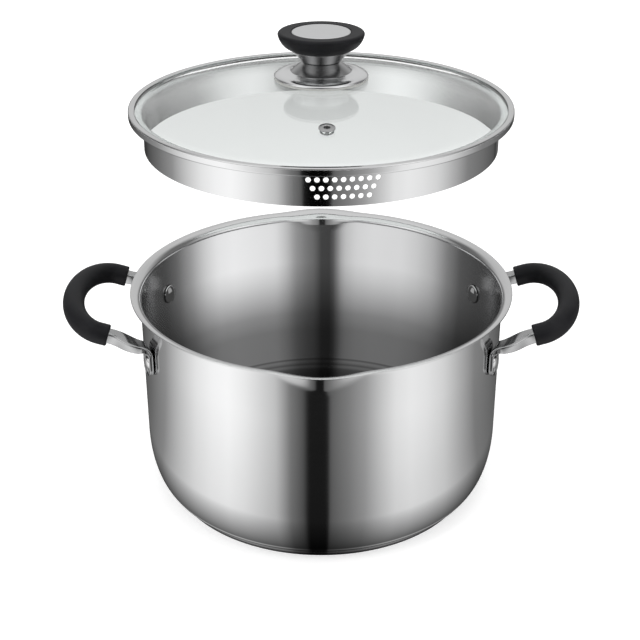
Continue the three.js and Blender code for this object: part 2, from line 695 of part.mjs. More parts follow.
const gripFoot = stemTop + CONTACT;
const gripWidest = gripFoot + KNOB_GRIP_FLARE;
const gripTop = gripWidest + KNOB_GRIP_CROWN;
const inlaySeat = gripTop - KNOB_INLAY_THICKNESS - CONTACT;
const pocketTop = inlaySeat - KNOB_TOP_WEB;
const pocketRadius = INSERT_RADIUS + CONTACT;
const recessRadius = KNOB_INLAY_RADIUS + CONTACT;
const gripFlare = KNOB_GRIP_RADIUS - KNOB_SHOULDER_RADIUS;
const gripEdge = [KNOB_GRIP_RADIUS - KNOB_GRIP_EDGE, gripWidest];
addPiece('knob_grip', turned([
  [0, pocketTop],
  [pocketRadius, pocketTop],
  [pocketRadius, gripFoot],
  ...quarter([KNOB_SHOULDER_RADIUS, gripWidest], [gripFlare, KNOB_GRIP_FLARE], -90, 0, KNOB_STEPS),
  ...quarter(gripEdge, [KNOB_GRIP_EDGE, KNOB_GRIP_CROWN], 30, 90, CORNER_STEPS),
  [recessRadius, gripTop],
  [recessRadius, inlaySeat],
  [0, inlaySeat],
], KNOB_SIDES), blackSilicone);

addPiece('knob_cap', turned([
  [0, inlaySeat + CONTACT],
  [KNOB_INLAY_RADIUS, inlaySeat + CONTACT],
  [KNOB_INLAY_RADIUS, gripTop - CONTACT],
  [KNOB_INLAY_RADIUS - KNOB_INLAY_THICKNESS / 2, gripTop],
  [0, gripTop],
], KNOB_SIDES), satinSteel);

// Screw, washer and lower gasket under the glass, and the insert that the screw turns into
const underGlass = glassHeight(0) - GLASS_THICKNESS;
const insertFoot = stemFloor + CONTACT;
const insertTop = pocketTop - CONTACT;
const screwTop = insertFoot + SCREW_ENGAGEMENT;
const threadTop = screwTop + CONTACT;
addPiece('knob_insert', turned([
  [0, insertTop],
  [INSERT_RADIUS, insertTop],
  [INSERT_RADIUS, insertFoot],
  [SCREW_HOLE_RADIUS, insertFoot],
  [SCREW_HOLE_RADIUS, threadTop],
  [0, threadTop],
], SMALL_SIDES), steel);

function plainWasher(radius, top, thickness) {
  return turnedRing([
    [SCREW_HOLE_RADIUS, top],
    [radius, top],
    [radius, top - thickness],
    [SCREW_HOLE_RADIUS, top - thickness],
  ], KNOB_SIDES);
}

const lowerGasketDip = glassHeight(0) - glassHeight(LOWER_GASKET_RADIUS);
const lowerGasketTop = underGlass - lowerGasketDip - CONTACT;
const washerTop = lowerGasketTop - GASKET_THICKNESS - CONTACT;
const headTop = washerTop - WASHER_THICKNESS - CONTACT;
const lowerGasket = plainWasher(LOWER_GASKET_RADIUS, lowerGasketTop, GASKET_THICKNESS);
addPiece('knob_gasket_lower', lowerGasket, paleSilicone);
addPiece('knob_washer', plainWasher(WASHER_RADIUS, washerTop, WASHER_THICKNESS), steel);
addPiece('knob_screw', turned([
  ...quarter([0, headTop], [SCREW_HEAD_RADIUS, SCREW_HEAD_HEIGHT], -90, 0, RIVET_STEPS),
  [SCREW_RADIUS, headTop],
  [SCREW_RADIUS, screwTop],
  [0, screwTop],
], SMALL_SIDES), steel);

export default assembly;
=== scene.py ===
# %% [markdown]
# # A pasta pot with a strainer lid
#
# The object is a spun stainless pot with two pouring spouts, two riveted loop handles with black
# silicone sleeves, and a domed glass lid whose steel skirt is pierced so that it strains. The packed
# model gives where everything is and what moves with what. This lesson lays a fine surface over each
# of its solids and gives each one its finish.

import bmesh
import bpy
import numpy as np
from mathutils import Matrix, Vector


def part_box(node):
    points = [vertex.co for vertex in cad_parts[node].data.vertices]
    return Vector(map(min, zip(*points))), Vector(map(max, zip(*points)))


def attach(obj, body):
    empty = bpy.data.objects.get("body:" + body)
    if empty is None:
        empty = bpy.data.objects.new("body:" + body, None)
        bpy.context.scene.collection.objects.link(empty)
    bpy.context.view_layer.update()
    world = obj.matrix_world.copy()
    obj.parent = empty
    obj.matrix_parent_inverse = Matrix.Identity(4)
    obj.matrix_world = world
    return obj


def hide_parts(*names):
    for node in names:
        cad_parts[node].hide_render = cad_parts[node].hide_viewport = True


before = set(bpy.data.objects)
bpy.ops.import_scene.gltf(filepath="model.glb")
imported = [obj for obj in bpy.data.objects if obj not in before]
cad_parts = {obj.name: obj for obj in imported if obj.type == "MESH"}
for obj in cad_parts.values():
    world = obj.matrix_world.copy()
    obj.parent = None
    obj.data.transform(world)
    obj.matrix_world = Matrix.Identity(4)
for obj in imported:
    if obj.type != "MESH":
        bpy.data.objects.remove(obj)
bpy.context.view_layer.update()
MM = 0.001

# %% [markdown]
# ## Measures
#
# Sizes are kept in millimetres, as a maker would write them, and turned into metres when a mesh is
# made. Whatever the frame can tell, such as the lip's radius or the lid's height, is read from the
# boxes of its nodes, so that the pieces sit where the solids are.

# %% Measures read from the frame


def node_box(node):
    """Lowest and highest corner of a solid of the frame, in millimetres."""
    low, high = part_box(node)
    return np.array(low) / MM, np.array(high) / MM


pot_low, pot_high = node_box("pot_body")
SPOUT_TIP = pot_high[1]
LIP_HEIGHT = pot_high[2]
UNDERSIDE = pot_low[2]
cap_high = node_box("base_cap")[1]
FLOOR_RADIUS = cap_high[0]
CAP_TOP = cap_high[2]
ring_low, ring_high = node_box("lid_ring")
RING_RADIUS = ring_high[0]
RING_TOP = ring_high[2]
SKIRT_BOTTOM = ring_low[2]
glass_low, glass_high = node_box("lid_glass")
GLASS_RADIUS = glass_high[0]
GLASS_BOTTOM = glass_low[2]
GLASS_APEX = glass_high[2]
print("spout tip", SPOUT_TIP, "lip height", LIP_HEIGHT, "lid top", RING_TOP)

# %% Measures the boxes cannot give
CONTACT = 0.3
SHEET = 1.0
SPOUT_REACH = 5.0
SPOUT_HALF_WIDTH = 36.0
SPOUT_DEPTH = 15.0
LIP_RADIUS = SPOUT_TIP - SPOUT_REACH
LIP_FLARE = 6.5
LIP_DEPTH = 6.0
WALL_RADIUS = LIP_RADIUS - LIP_FLARE
BOWL_RISE = 38.8
RING_SHEET = 0.6
FLANGE_HEIGHT = GLASS_BOTTOM - RING_SHEET - CONTACT
SKIRT_GAP = 8.3
SKIRT_RADIUS = WALL_RADIUS - SHEET - SKIRT_GAP
GLASS_THICKNESS = 3.2
GLASS_BORDER = 5.0
SCREW_HOLE = 2.8

# %% [markdown]
# ## Surfaces from grids
#
# Every piece is a grid of points: one direction runs round or along the piece, the other follows its
# section. Modelling by hand or with bevels would also do, but a formula keeps curves exact, and a
# polished surface shows every dent. The helpers below skin such a grid, close its poles and hang the
# piece on the body that carries it.

# %% Helpers: profiles


def arc(centre, reach, start, stop, count):
    """Points on an ellipse: the centre plus the reach times cosine and sine of an angle that runs
    from start to stop, in degrees."""
    angle = np.radians(np.linspace(start, stop, count))
    return np.stack([centre[0] + reach[0] * np.cos(angle), centre[1] + reach[1] * np.sin(angle)], -1)


def distinct(points):
    """Points without those that repeat the one before."""
    step = np.linalg.norm(np.diff(points, axis=0, prepend=points[:1] + 1.0), axis=1)
    return points[step > 1e-6]


GUARD = 1.2


def rounded(corners, radii, steps=7):
    """A line through corners, each cut back by its radius and bridged by a parabola. One more point
    stands just before and after each bridge, so that the flats beside it stay flat in the shading."""
    corner = np.asarray(corners, float)
    reach = np.asarray(radii, float)[:, None]
    before = np.roll(corner, 1, axis=0) - corner
    after = np.roll(corner, -1, axis=0) - corner
    before /= np.maximum(np.linalg.norm(before, axis=1, keepdims=True), 1e-9)
    after /= np.maximum(np.linalg.norm(after, axis=1, keepdims=True), 1e-9)
    share = np.linspace(0, 1, steps)[None, :, None]
    first = (corner + before * reach)[:, None]
    last = (corner + after * reach)[:, None]
    bridge = (1 - share) ** 2 * first + 2 * share * (1 - share) * corner[:, None] + share ** 2 * last
    lead = (corner + before * reach * GUARD)[:, None]
    trail = (corner + after * reach * GUARD)[:, None]
    return distinct(np.concatenate([lead, bridge, trail], axis=1).reshape(-1, 2))


def revolved(profile, azimuths):
    """Turn a profile of (radius, height) points round Z: x is radius times sine of the azimuth, y is
    minus radius times its cosine, so that azimuth 0 faces the front."""
    radius, height = profile[None, :, 0], profile[None, :, 1]
    azimuth = azimuths[:, None]
    return np.stack([
        radius * np.sin(azimuth), -radius * np.cos(azimuth), height + 0 * azimuth], -1)


def full_turn(count):
    """Evenly spaced azimuths once round, without the repeated last one."""
    return np.linspace(0, 2 * np.pi, count, endpoint=False)


# %% Helpers: meshes and pieces


def grid_mesh(name, points, close_rows=False, close_columns=False, keep=None, outward=True):
    """Skin a grid of points with four-sided faces between neighbours, join the last row or column to
    the first where it closes, merge what meets at a pole, and turn the faces outwards. The rim of an
    open sheet is sharp, so that the thickness it gets later doesn't bend its shading."""
    rows, columns = points.shape[:2]
    index = np.arange(rows * columns).reshape(rows, columns)
    if close_rows:
        index = np.concatenate([index, index[:1]], axis=0)
    if close_columns:
        index = np.concatenate([index, index[:, :1]], axis=1)
    quads = np.stack([index[:-1, :-1], index[1:, :-1], index[1:, 1:], index[:-1, 1:]], -1)
    quads = quads.reshape(-1, 4) if keep is None else quads[keep]
    mesh = bpy.data.meshes.new(name)
    mesh.from_pydata((points * MM).reshape(-1, 3).tolist(), [], quads.tolist())
    work = bmesh.new()
    work.from_mesh(mesh)
    bmesh.ops.remove_doubles(work, verts=work.verts, dist=1e-6)
    bmesh.ops.dissolve_degenerate(work, edges=work.edges, dist=1e-7)
    loose = [vertex for vertex in work.verts if not vertex.link_faces]
    bmesh.ops.delete(work, geom=loose, context="VERTS")
    if outward:
        bmesh.ops.recalc_face_normals(work, faces=work.faces)
    work.to_mesh(mesh)
    work.free()
    mesh.polygons.foreach_set("use_smooth", np.ones(len(mesh.polygons), bool))
    mesh.set_sharp_from_angle(angle=np.radians(50))
    edge_of_corner = np.empty(len(mesh.loops), np.int32)
    mesh.loops.foreach_get("edge_index", edge_of_corner)
    open_edge = np.bincount(edge_of_corner, minlength=len(mesh.edges)) == 1
    sharp = np.empty(len(mesh.edges), bool)
    mesh.edges.foreach_get("use_edge_sharp", sharp)
    mesh.edges.foreach_set("use_edge_sharp", sharp | open_edge)
    return mesh


def add_piece(name, mesh, finish, body, node):
    """Put a mesh in the scene with its finish, hang it on a body and let it stand for a solid."""
    piece = bpy.data.objects.new(name, mesh)
    bpy.context.scene.collection.objects.link(piece)
    mesh.materials.append(finish)
    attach(piece, body)
    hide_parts(node)
    print(name, len(mesh.polygons), "faces")
    return piece


def turned_piece(name, section, count, finish, body, node, hollow=False):
    """A piece turned round Z from (radius, height) points. The section of a hollow piece is a loop, and
    that of any other starts and ends on the axis."""
    mesh = grid_mesh(name, revolved(section, full_turn(count)), close_rows=True, close_columns=hollow)
    add_piece(name, mesh, finish, body, node)
    return mesh


def thicken(piece, thickness):
    """Give an open sheet its thickness on the side that its faces point to."""
    layer = piece.modifiers.new("sheet", "SOLIDIFY")
    layer.thickness = thickness * MM
    layer.offset = 1
    layer.use_even_offset = True
    layer.use_quality_normals = True


# %% [markdown]
# ## Finishes
#
# A finish is a material built from nodes. Writing each sum as a row of Math nodes is slow to read, so
# one small class wraps a socket and lets Python's operators add those nodes, and one method adds any
# other node.

# %% Helpers: node maths


class Signal:
    """A socket's value, on which arithmetic adds Math nodes."""

    def __init__(self, finish, socket):
        self.finish = finish
        self.socket = socket

    def math(self, operation, *values):
        """One Math node on these values."""
        return self.finish.node("ShaderNodeMath", {"operation": operation}, dict(enumerate(values)))

    def __add__(self, other):
        return self.math("ADD", self, other)

    def __sub__(self, other):
        return self.math("SUBTRACT", self, other)

    def __rsub__(self, other):
        return self.math("SUBTRACT", other, self)

    def __mul__(self, other):
        return self.math("MULTIPLY", self, other)

    def __truediv__(self, other):
        return self.math("DIVIDE", self, other)

    def __pow__(self, other):
        return self.math("POWER", self, other)


class Finish:
    """A node tree under construction."""

    def __init__(self, tree):
        self.tree = tree
        tree.nodes.clear()

    def node(self, kind, settings=None, sockets=None, output=0):
        """Add a node: its settings are set first, then each socket gets a value or a link. Gives the
        wanted output as a Signal."""
        made = self.tree.nodes.new(kind)
        for key, value in (settings or {}).items():
            setattr(made, key, value)
        for key, value in (sockets or {}).items():
            if isinstance(value, Signal):
                self.tree.links.new(value.socket, made.inputs[key])
            else:
                made.inputs[key].default_value = value
        return Signal(self, made.outputs[output]) if made.outputs else None

    def axes(self):
        """The point on the piece, as x, y and z in metres."""
        place = self.node("ShaderNodeTexCoord", output="Object")
        return [self.node("ShaderNodeSeparateXYZ", {}, {0: place}, axis) for axis in range(3)]

    def noise(self, x, y, z, detail=2.0, roughness=0.5):
        """Cloud noise at a point given by three signals or numbers, from 0 to 1."""
        point = self.node("ShaderNodeCombineXYZ", {}, {0: x, 1: y, 2: z})
        sockets = {"Vector": point, "Scale": 1.0, "Detail": detail, "Roughness": roughness}
        return self.node("ShaderNodeTexNoise", {}, sockets)

    def mix(self, share, first, second):
        """A colour between two colours."""
        return self.node("ShaderNodeMix", {"data_type": "RGBA"}, {0: share, 6: first, 7: second}, 2)

    def clamp(self, value, low=0.0, high=1.0):
        """A value kept between two limits."""
        return self.node("ShaderNodeClamp", {}, {0: value, 1: low, 2: high})

    def ramp(self, value, tones):
        """A grey that follows a value from 0 to 1: the tones are listed by value and blended between."""
        tone = self.node("ShaderNodeValToRGB", {}, {0: value})
        stops = tone.socket.node.color_ramp.elements
        while len(stops) < len(tones):
            stops.new(1.0)
        for stop, (place, share) in zip(stops, tones):
            stop.position = place
            stop.color = grey(share)
        return tone

    def rise(self, value, start, reach):
        """0 up to a start, 1 from a reach beyond it, and even between them."""
        return self.clamp((value - start) / reach)

    def bump(self, height, strength, distance):
        """A normal tilted by the slope of a height."""
        sockets = {"Height": height, "Strength": strength, "Distance": distance}
        return self.node("ShaderNodeBump", {}, sockets)

    def surface(self, sockets):
        """The Principled shader and the output, which end a material."""
        shader = self.node("ShaderNodeBsdfPrincipled", {}, sockets)
        self.node("ShaderNodeOutputMaterial", {}, {0: shader})


def new_finish(name):
    """An empty material and the builder for its nodes."""
    material = bpy.data.materials.new(name)
    material.use_nodes = True
    return material, Finish(material.node_tree)


def radius_of(x, y):
    """Distance from the Z axis."""
    return (x * x + y * y) ** 0.5


def grey(value):
    """A grey as a colour."""
    return (value, value, value, 1)


RAMP_HEIGHT = 150.0


def height_ramp(finish, shares):
    """A share that follows the height: shares are listed by height in millimetres and blended between."""
    place = finish.axes()[2] / (RAMP_HEIGHT * MM)
    return finish.ramp(place, [(height / RAMP_HEIGHT, share) for height, share in shares.items()])


# %% [markdown]
# ### Polished and brushed steel
#
# The wall, the lid's ring and the handles are polished until they mirror the room, and the inside is
# left with the fine rings of a spinning lathe. All are the same metal: its roughness and the depth of
# the rings differ, and so does its shade, which is painted light and shade: a paler copy for the
# knob's flange and darker copies for the pot's inner floor, the handles, the base band, the knob's
# cones and the vent. The rings are noise that is very fine along the radius and the height and very
# slow round the axis, so they follow the way the pot was turned. A few darker bands of painted shade
# run round the corner of the bowl inside, and below them the inside is painted darker still.

# %% Steel finishes


def turned_rings(finish, pitch):
    """Noise drawn out into rings round Z, with about one ring in a pitch given in millimetres."""
    x, y, z = finish.axes()
    fine = 1 / (pitch * MM)
    slow = 12.0
    radius = radius_of(x, y)
    return finish.noise(radius * fine + x * slow, z * fine + y * slow, (x - y) * slow, 3.0, 0.6)


def smudges(finish, size):
    """Slow clouds that stand for handling and wiping."""
    x, y, z = finish.axes()
    fine = 1 / (size * MM)
    return finish.noise(x * fine, y * fine, z * fine, 4.0, 0.55)


SMUDGE_SIZE = 45.0
UNEVENNESS = 0.06


def steel(name, colour, rough, ring_depth, ring_pitch, brushed=0.0, marks=None):
    """Steel with a roughness that the rings and the clouds vary a little. Brushed steel, between 0
    and 1, blurs what it reflects up and down more than sideways. Marks, which are painted shade,
    give the share of the colour that is left at a height in millimetres, blended between those heights."""
    material, finish = new_finish(name)
    rings = turned_rings(finish, ring_pitch)
    clouds = smudges(finish, SMUDGE_SIZE)
    uneven = (rings - 0.5) * UNEVENNESS + (clouds - 0.5) * UNEVENNESS + rough
    shade = finish.mix(clouds, [value * 0.95 for value in colour] + [1], (*colour, 1))
    if marks:
        shade = finish.mix(height_ramp(finish, marks), grey(0), shade)
    finish.surface({
        "Base Color": shade,
        "Metallic": 1.0,
        "Roughness": finish.clamp(uneven, 0.03, 0.7),
        "Anisotropic": brushed,
        "Anisotropic Rotation": 0.25,
        "Normal": finish.bump(rings - 0.5, 0.5, ring_depth * MM),
    })
    return material


pot_steel = steel("pot_steel", (0.72, 0.722, 0.725), 0.09, 0.0006, 0.45)
# Painted shade: darker bands round the corner of the bowl inside, and darker still below them.
CORNER_SHADE_BANDS = {
    12: 0.30, 15.5: 0.40, 17: 0.75, 18: 0.80, 19.2: 0.45, 20: 0.70, 21.5: 0.95, 22.6: 0.85, 23.3: 0.42,
    24.5: 1.0}
inside_steel = steel("inside_steel", (0.72, 0.722, 0.728), 0.17, 0.0002, 0.35, 0.4, CORNER_SHADE_BANDS)
# A darker copy of the steel for the pot's inner floor: painted shade.
painted_shade_floor_steel = steel("painted_shade_floor_steel", (0.34, 0.342, 0.345), 0.22, 0.003, 0.8)
lid_steel = steel("lid_steel", (0.72, 0.722, 0.725), 0.10, 0.0008, 0.4)
bright_steel = steel("bright_steel", (0.72, 0.72, 0.72), 0.10, 0.001, 0.6)
# A paler copy of the steel for the knob's flange: painted light.
painted_light_knob_steel = steel("painted_light_knob_steel", (0.82, 0.825, 0.83), 0.16, 0.0008, 0.4)
# A darker copy of the steel for the knob's cones and the vent: painted shade.
painted_shade_cone_steel = steel("painted_shade_cone_steel", (0.46, 0.462, 0.465), 0.22, 0.0008, 0.4)
# A darker copy of the steel for the handles' channels: painted shade.
painted_shade_handle_steel = steel("painted_shade_handle_steel", (0.44, 0.442, 0.445), 0.16, 0.0006, 0.6)
# A darker copy of the steel for the base band: painted shade.
painted_shade_base_steel = steel("painted_shade_base_steel", (0.56, 0.56, 0.565), 0.25, 0.004, 0.35)

# %% [markdown]
# ### Brushed inlay, silicone, glass and aluminium
#
# The knob's inlay is brushed in straight lines, so its noise is drawn out along X. The silicone is a
# matt black with a very fine grain and a few paler rubbed places. The glass is clear with a breath of
# green. The aluminium core is sealed in the base and only a cut would show it.

# %% Other finishes


def lined_metal(name, fineness, dark, pale, rough, rough_gain, depth):
    """Metal with straight lines along X: noise that is slow along X and fine across it."""
    material, finish = new_finish(name)
    x, y, z = finish.axes()
    lines = finish.noise(x * fineness[0], y * fineness[1], z * fineness[2], 3.0, 0.6)
    finish.surface({
        "Base Color": finish.mix(lines, (*dark, 1), (*pale, 1)),
        "Metallic": 1.0,
        "Roughness": lines * rough_gain + rough,
        "Normal": finish.bump(lines, 0.35, depth * MM),
    })
    return material


def silicone_finish(name, dark, pale, rough):
    """A matt elastomer: fine grain in the bump, slow clouds in the roughness and a rubbed bloom."""
    material, finish = new_finish(name)
    x, y, z = finish.axes()
    grain = finish.noise(x * 3500.0, y * 3500.0, z * 3500.0, 2.0, 0.5)
    clouds = smudges(finish, 14.0)
    bloom = finish.clamp((clouds - 0.45) * 2.2)
    finish.surface({
        "Base Color": finish.mix(bloom, (*dark, 1), (*pale, 1)),
        "Roughness": clouds * 0.14 + (grain - 0.5) * 0.1 + rough,
        "Specular IOR Level": 0.2,
        "Normal": finish.bump(grain, 0.25, 0.03 * MM),
    })
    return material


def glass_finish():
    """Clear toughened glass, a breath of green, with faint wiping marks in its roughness."""
    material, finish = new_finish("clear_glass")
    wiping = finish.clamp((smudges(finish, 30.0) - 0.55) * 0.12, 0.0, 0.03)
    finish.surface({
        "Base Color": (0.955, 0.985, 0.975, 1),
        "Roughness": wiping,
        "IOR": 1.5,
        "Transmission Weight": 1.0,
    })
    return material


def repaint(node, finish):
    """Give a hidden solid of the frame its finish, where no finer piece stands for it."""
    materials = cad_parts[node].data.materials
    materials.clear()
    materials.append(finish)


inlay_steel = lined_metal(
    "inlay_steel", (60.0, 4500.0, 60.0), (0.70, 0.705, 0.71), (0.90, 0.905, 0.91), 0.30, 0.16, 0.01)
black_silicone = silicone_finish("black_silicone", (0.008, 0.008, 0.0095), (0.014, 0.0145, 0.017), 0.42)
pale_silicone = silicone_finish("pale_silicone", (0.62, 0.62, 0.60), (0.72, 0.72, 0.70), 0.45)
clear_glass = glass_finish()
core_aluminium = lined_metal(
    "core_aluminium", (40.0, 1500.0, 900.0), (0.62, 0.625, 0.63), (0.74, 0.745, 0.75), 0.35, 0.2, 0.0)
repaint("base_core", core_aluminium)
print(len(bpy.data.materials), "materials")

# %% [markdown]
# ## Pot shell
#
# The shell is one sheet: a flat floor, a bowl that draws in towards it, a straight wall and a lip that
# flares like a trumpet. A lathe would give all of that, but the spouts are pushed out afterwards, so
# the radius gains a term that grows towards the lip and fades to either side. Inside, the wall and the
# floor get finishes of their own, both with painted shade: darker bands low on the wall and a darker
# copy of the steel on the floor. The flare and the spouts stay polished.

# %% Pot shell: section, spouts and the inside's finishes


def spout_push(azimuth, height):
    """How far a spout moves a point out: its reach times how far up the spout it is, times the
    squared cosine of how far it is to the side, in a spout that narrows as a parabola going down."""
    up = np.clip((height - (LIP_HEIGHT - SPOUT_DEPTH)) / SPOUT_DEPTH, 0, 1)
    aside = np.abs(np.arcsin(np.sin(azimuth))) * LIP_RADIUS
    across = np.clip(aside / (SPOUT_HALF_WIDTH * np.sqrt(np.maximum(up, 1e-9))), 0, 1)
    return SPOUT_REACH * up * np.cos(across * np.pi / 2) ** 2


def sheet_side(inset):
    """One side of the sheet from the axis to the lip: the outside, moved in by an inset."""
    wall, low = WALL_RADIUS - inset, UNDERSIDE + inset
    bowl_top = UNDERSIDE + BOWL_RISE
    spout_foot, flare_foot = LIP_HEIGHT - SPOUT_DEPTH, LIP_HEIGHT - LIP_DEPTH
    edge = SHEET / 2
    flare_reach = (LIP_FLARE - edge + inset, LIP_DEPTH - SHEET + inset)
    return np.concatenate([
        np.linspace((0, low), (FLOOR_RADIUS, low), 14),
        arc((FLOOR_RADIUS, bowl_top), (wall - FLOOR_RADIUS, BOWL_RISE - inset), -90, 0, 44),
        np.linspace((wall, bowl_top), (wall, spout_foot), 24),
        np.linspace((wall, spout_foot), (wall, flare_foot), 12),
        arc((LIP_RADIUS - edge, flare_foot), flare_reach, 180, 90, 22)])


def pot_section():
    """The sheet's outside from the axis to the lip, round the lip's edge and back inside to the axis."""
    edge = SHEET / 2
    lip_edge = arc((LIP_RADIUS - edge, LIP_HEIGHT - edge), (edge, edge), -90, 90, 9)
    return distinct(np.concatenate([sheet_side(0), lip_edge, sheet_side(SHEET)[::-1]]))


def spout_azimuths(count):
    """Azimuths once round, drawn closer together at the two spouts by a sine of twice the angle."""
    even = full_turn(count)
    return even - SPOUT_CROWDING * np.sin(2 * even)


SPOUT_CROWDING = 0.32
SPOUT_ZONE = 5.0
section = pot_section()
azimuths = spout_azimuths(288)
shell = revolved(section, azimuths)
near_wall = section[None, :, 0] > WALL_RADIUS - SPOUT_ZONE
push = spout_push(azimuths[:, None], section[None, :, 1]) * near_wall
shell += push[..., None] * np.stack([np.sin(azimuths), -np.cos(azimuths), 0 * azimuths], -1)[:, None]
shell_mesh = grid_mesh("pot_shell", shell, close_rows=True)
add_piece("pot_shell", shell_mesh, pot_steel, "pot", "pot_body")


def face_places(mesh):
    """Of every face: how far out its middle is, how high, and its normal outwards and upwards."""
    centres, normals = np.empty(len(mesh.polygons) * 3), np.empty(len(mesh.polygons) * 3)
    mesh.polygons.foreach_get("center", centres)
    mesh.polygons.foreach_get("normal", normals)
    centres, normals = centres.reshape(-1, 3) / MM, normals.reshape(-1, 3)
    out = np.linalg.norm(centres[:, :2], axis=1)
    outwards = (normals[:, :2] * centres[:, :2]).sum(axis=1) / np.maximum(out, 1e-9)
    return out, centres[:, 2], outwards, normals[:, 2]


def second_finish(mesh, chosen, finish):
    """Give the chosen faces a finish of their own."""
    numbers = np.empty(len(mesh.polygons), np.int32)
    mesh.polygons.foreach_get("material_index", numbers)
    mesh.materials.append(finish)
    numbers[chosen] = len(mesh.materials) - 1
    mesh.polygons.foreach_set("material_index", numbers)


FLARE_START = 0.6
LEVEL = 0.8
out, _, outwards, upwards = face_places(shell_mesh)
second_finish(shell_mesh, (outwards < 0) & (out < WALL_RADIUS - FLARE_START), inside_steel)
# The inner floor's faces get the darker copy of the steel: painted shade.
second_finish(shell_mesh, (upwards > LEVEL) & (out < FLOOR_RADIUS), painted_shade_floor_steel)

# %% [markdown]
# ## Base cap
#
# A steel cap is pressed over the aluminium core and shows as a band under the wall. It is a plain
# turned cup with a rounded lower edge. Its underside carries the rings of the lathe.

# %% Base cap
cap_corners = [
    (0, 0), (FLOOR_RADIUS, 0), (FLOOR_RADIUS, CAP_TOP), (FLOOR_RADIUS - SHEET, CAP_TOP),
    (FLOOR_RADIUS - SHEET, SHEET), (0, SHEET)]
cap_section = rounded(cap_corners, (0, 3.0, 0.35, 0.35, 1.9, 0))
# The band gets a darker copy of the steel: painted shade.
turned_piece("base_band", cap_section, 192, painted_shade_base_steel, "pot", "base_cap")

# %% [markdown]
# ## Handles
#
# Each handle is a strip of sheet folded to a channel. Its foot lies on the wall with its edges
# standing out, it bends away from the wall and runs round in a loop that rises outwards. So the shape
# is a channel's outline carried along that path, with a width and a depth that change on the way.

# %% Handle measures
RIVET_AZIMUTH = np.radians(65.5)
RIVET_HEIGHT = LIP_HEIGHT - 33.2
FOOT_WIDTH, FOOT_DEPTH, FOOT_TAIL = 14.0, 3.2, 10.0
CHANNEL_WIDTH, CHANNEL_DEPTH, CHANNEL_SHEET = 8.6, 7.5, 1.5
BEND_RADIUS = 8.0
BEND_SHARE = 0.5
LEG_EASE = 1 / 3
SLOPE = np.radians(16.7)
LOOP_START = WALL_RADIUS + 22.7
LOOP_TOP = LIP_HEIGHT - 11.3
LOOP_REACH, LOOP_HALF_WIDTH = 22.6, 45.5
GRIP_LEAD = 7.0
GRIP_RADIUS = 7.2


# %% Handle path


def smooth_step(share):
    """An easing from 0 to 1 that starts and ends level: three shares squared less two cubed."""
    share = np.clip(share, 0, 1)
    return share * share * (3 - 2 * share)


def loop_height(x):
    """Height of the channel's back where the path is past the bend: it rises evenly outwards."""
    return LOOP_TOP + (x - LOOP_START) * np.tan(SLOPE)


def handle_half():
    """The right handle's path from the front foot's end to the tip of the loop, as points, the
    direction of the channel's width, how far the channel has narrowed, and the foot's own width."""
    outwards = np.array([np.sin(RIVET_AZIMUTH), -np.cos(RIVET_AZIMUTH)])
    along = np.array([np.cos(RIVET_AZIMUTH), np.sin(RIVET_AZIMUTH)])
    foot = outwards * (WALL_RADIUS + CONTACT)
    grip_start = np.array([LOOP_START - GRIP_LEAD, -LOOP_HALF_WIDTH])
    straight = (grip_start - foot) / np.linalg.norm(grip_start - foot)
    leave = (outwards + straight) / np.linalg.norm(outwards + straight)
    bend_end = foot + leave * BEND_RADIUS * (1 - np.sin(SLOPE))
    bend_foot = loop_height(bend_end[0]) - BEND_RADIUS * np.cos(SLOPE)
    foot_end = RIVET_HEIGHT - FOOT_TAIL
    end_radius = FOOT_WIDTH / 2

    turn = np.linspace(0.12, np.pi / 2, 16)
    tongue_height = foot_end + end_radius * (1 - np.cos(turn))
    shank_height = np.linspace(tongue_height[-1], bend_foot, 8)[1:-1]
    bend = np.linspace(0, np.pi / 2 - SLOPE, 26)
    share = np.linspace(0, 1, 26)
    foot_heights = np.concatenate([tongue_height, shank_height])
    foot_plan = np.broadcast_to(foot, (len(foot_heights), 2))
    bend_plan = foot + leave * (BEND_RADIUS * (1 - np.cos(bend)))[:, None]
    bend_height = bend_foot + BEND_RADIUS * np.sin(bend)

    pull = LEG_EASE * np.linalg.norm(grip_start - foot)
    controls = [bend_end, bend_end + leave * pull, grip_start - (pull, 0), grip_start]
    leg_share = np.linspace(0, 1, 26)[1:]
    weights = [(1 - leg_share) ** 3, 3 * leg_share * (1 - leg_share) ** 2,
               3 * leg_share ** 2 * (1 - leg_share), leg_share ** 3]
    leg_plan = sum(weight[:, None] * control for weight, control in zip(weights, controls))
    lead_plan = np.linspace(grip_start, (LOOP_START, -LOOP_HALF_WIDTH), 6)[1:-1]
    loop_plan = arc((LOOP_START, 0), (LOOP_REACH, LOOP_HALF_WIDTH), -90, 0, 48)
    level_plan = np.concatenate([leg_plan, lead_plan, loop_plan])
    heading = np.gradient(level_plan, axis=0)
    heading[0] = leg_plan[1] - bend_end

    plan = np.concatenate([foot_plan, bend_plan, level_plan])
    height = np.concatenate([foot_heights, bend_height, loop_height(level_plan[:, 0])])
    leg_side = np.array([-leave[1], leave[0]])
    bend_side = along + (leg_side - along) * (share ** 2)[:, None]
    level_side = np.stack([-heading[:, 1], heading[:, 0]], -1)
    side = np.concatenate([np.broadcast_to(along, foot_plan.shape), bend_side, level_side])
    rest = np.ones(len(lead_plan) + len(loop_plan))
    narrowing = np.concatenate([
        np.zeros(len(foot_heights)), share * BEND_SHARE,
        BEND_SHARE + (1 - BEND_SHARE) * leg_share, rest])
    tongue = np.concatenate([np.sin(turn), np.ones(len(plan) - len(turn))])
    grip_first = len(foot_heights) + len(bend) + len(leg_share) - 1
    points = np.concatenate([plan, height[:, None]], axis=1)
    sides = np.concatenate([side, 0 * side[:, :1]], axis=1)
    return points, sides, narrowing, tongue, grip_first


def unit(vectors):
    """Vectors drawn to length 1."""
    return vectors / np.linalg.norm(vectors, axis=-1, keepdims=True)


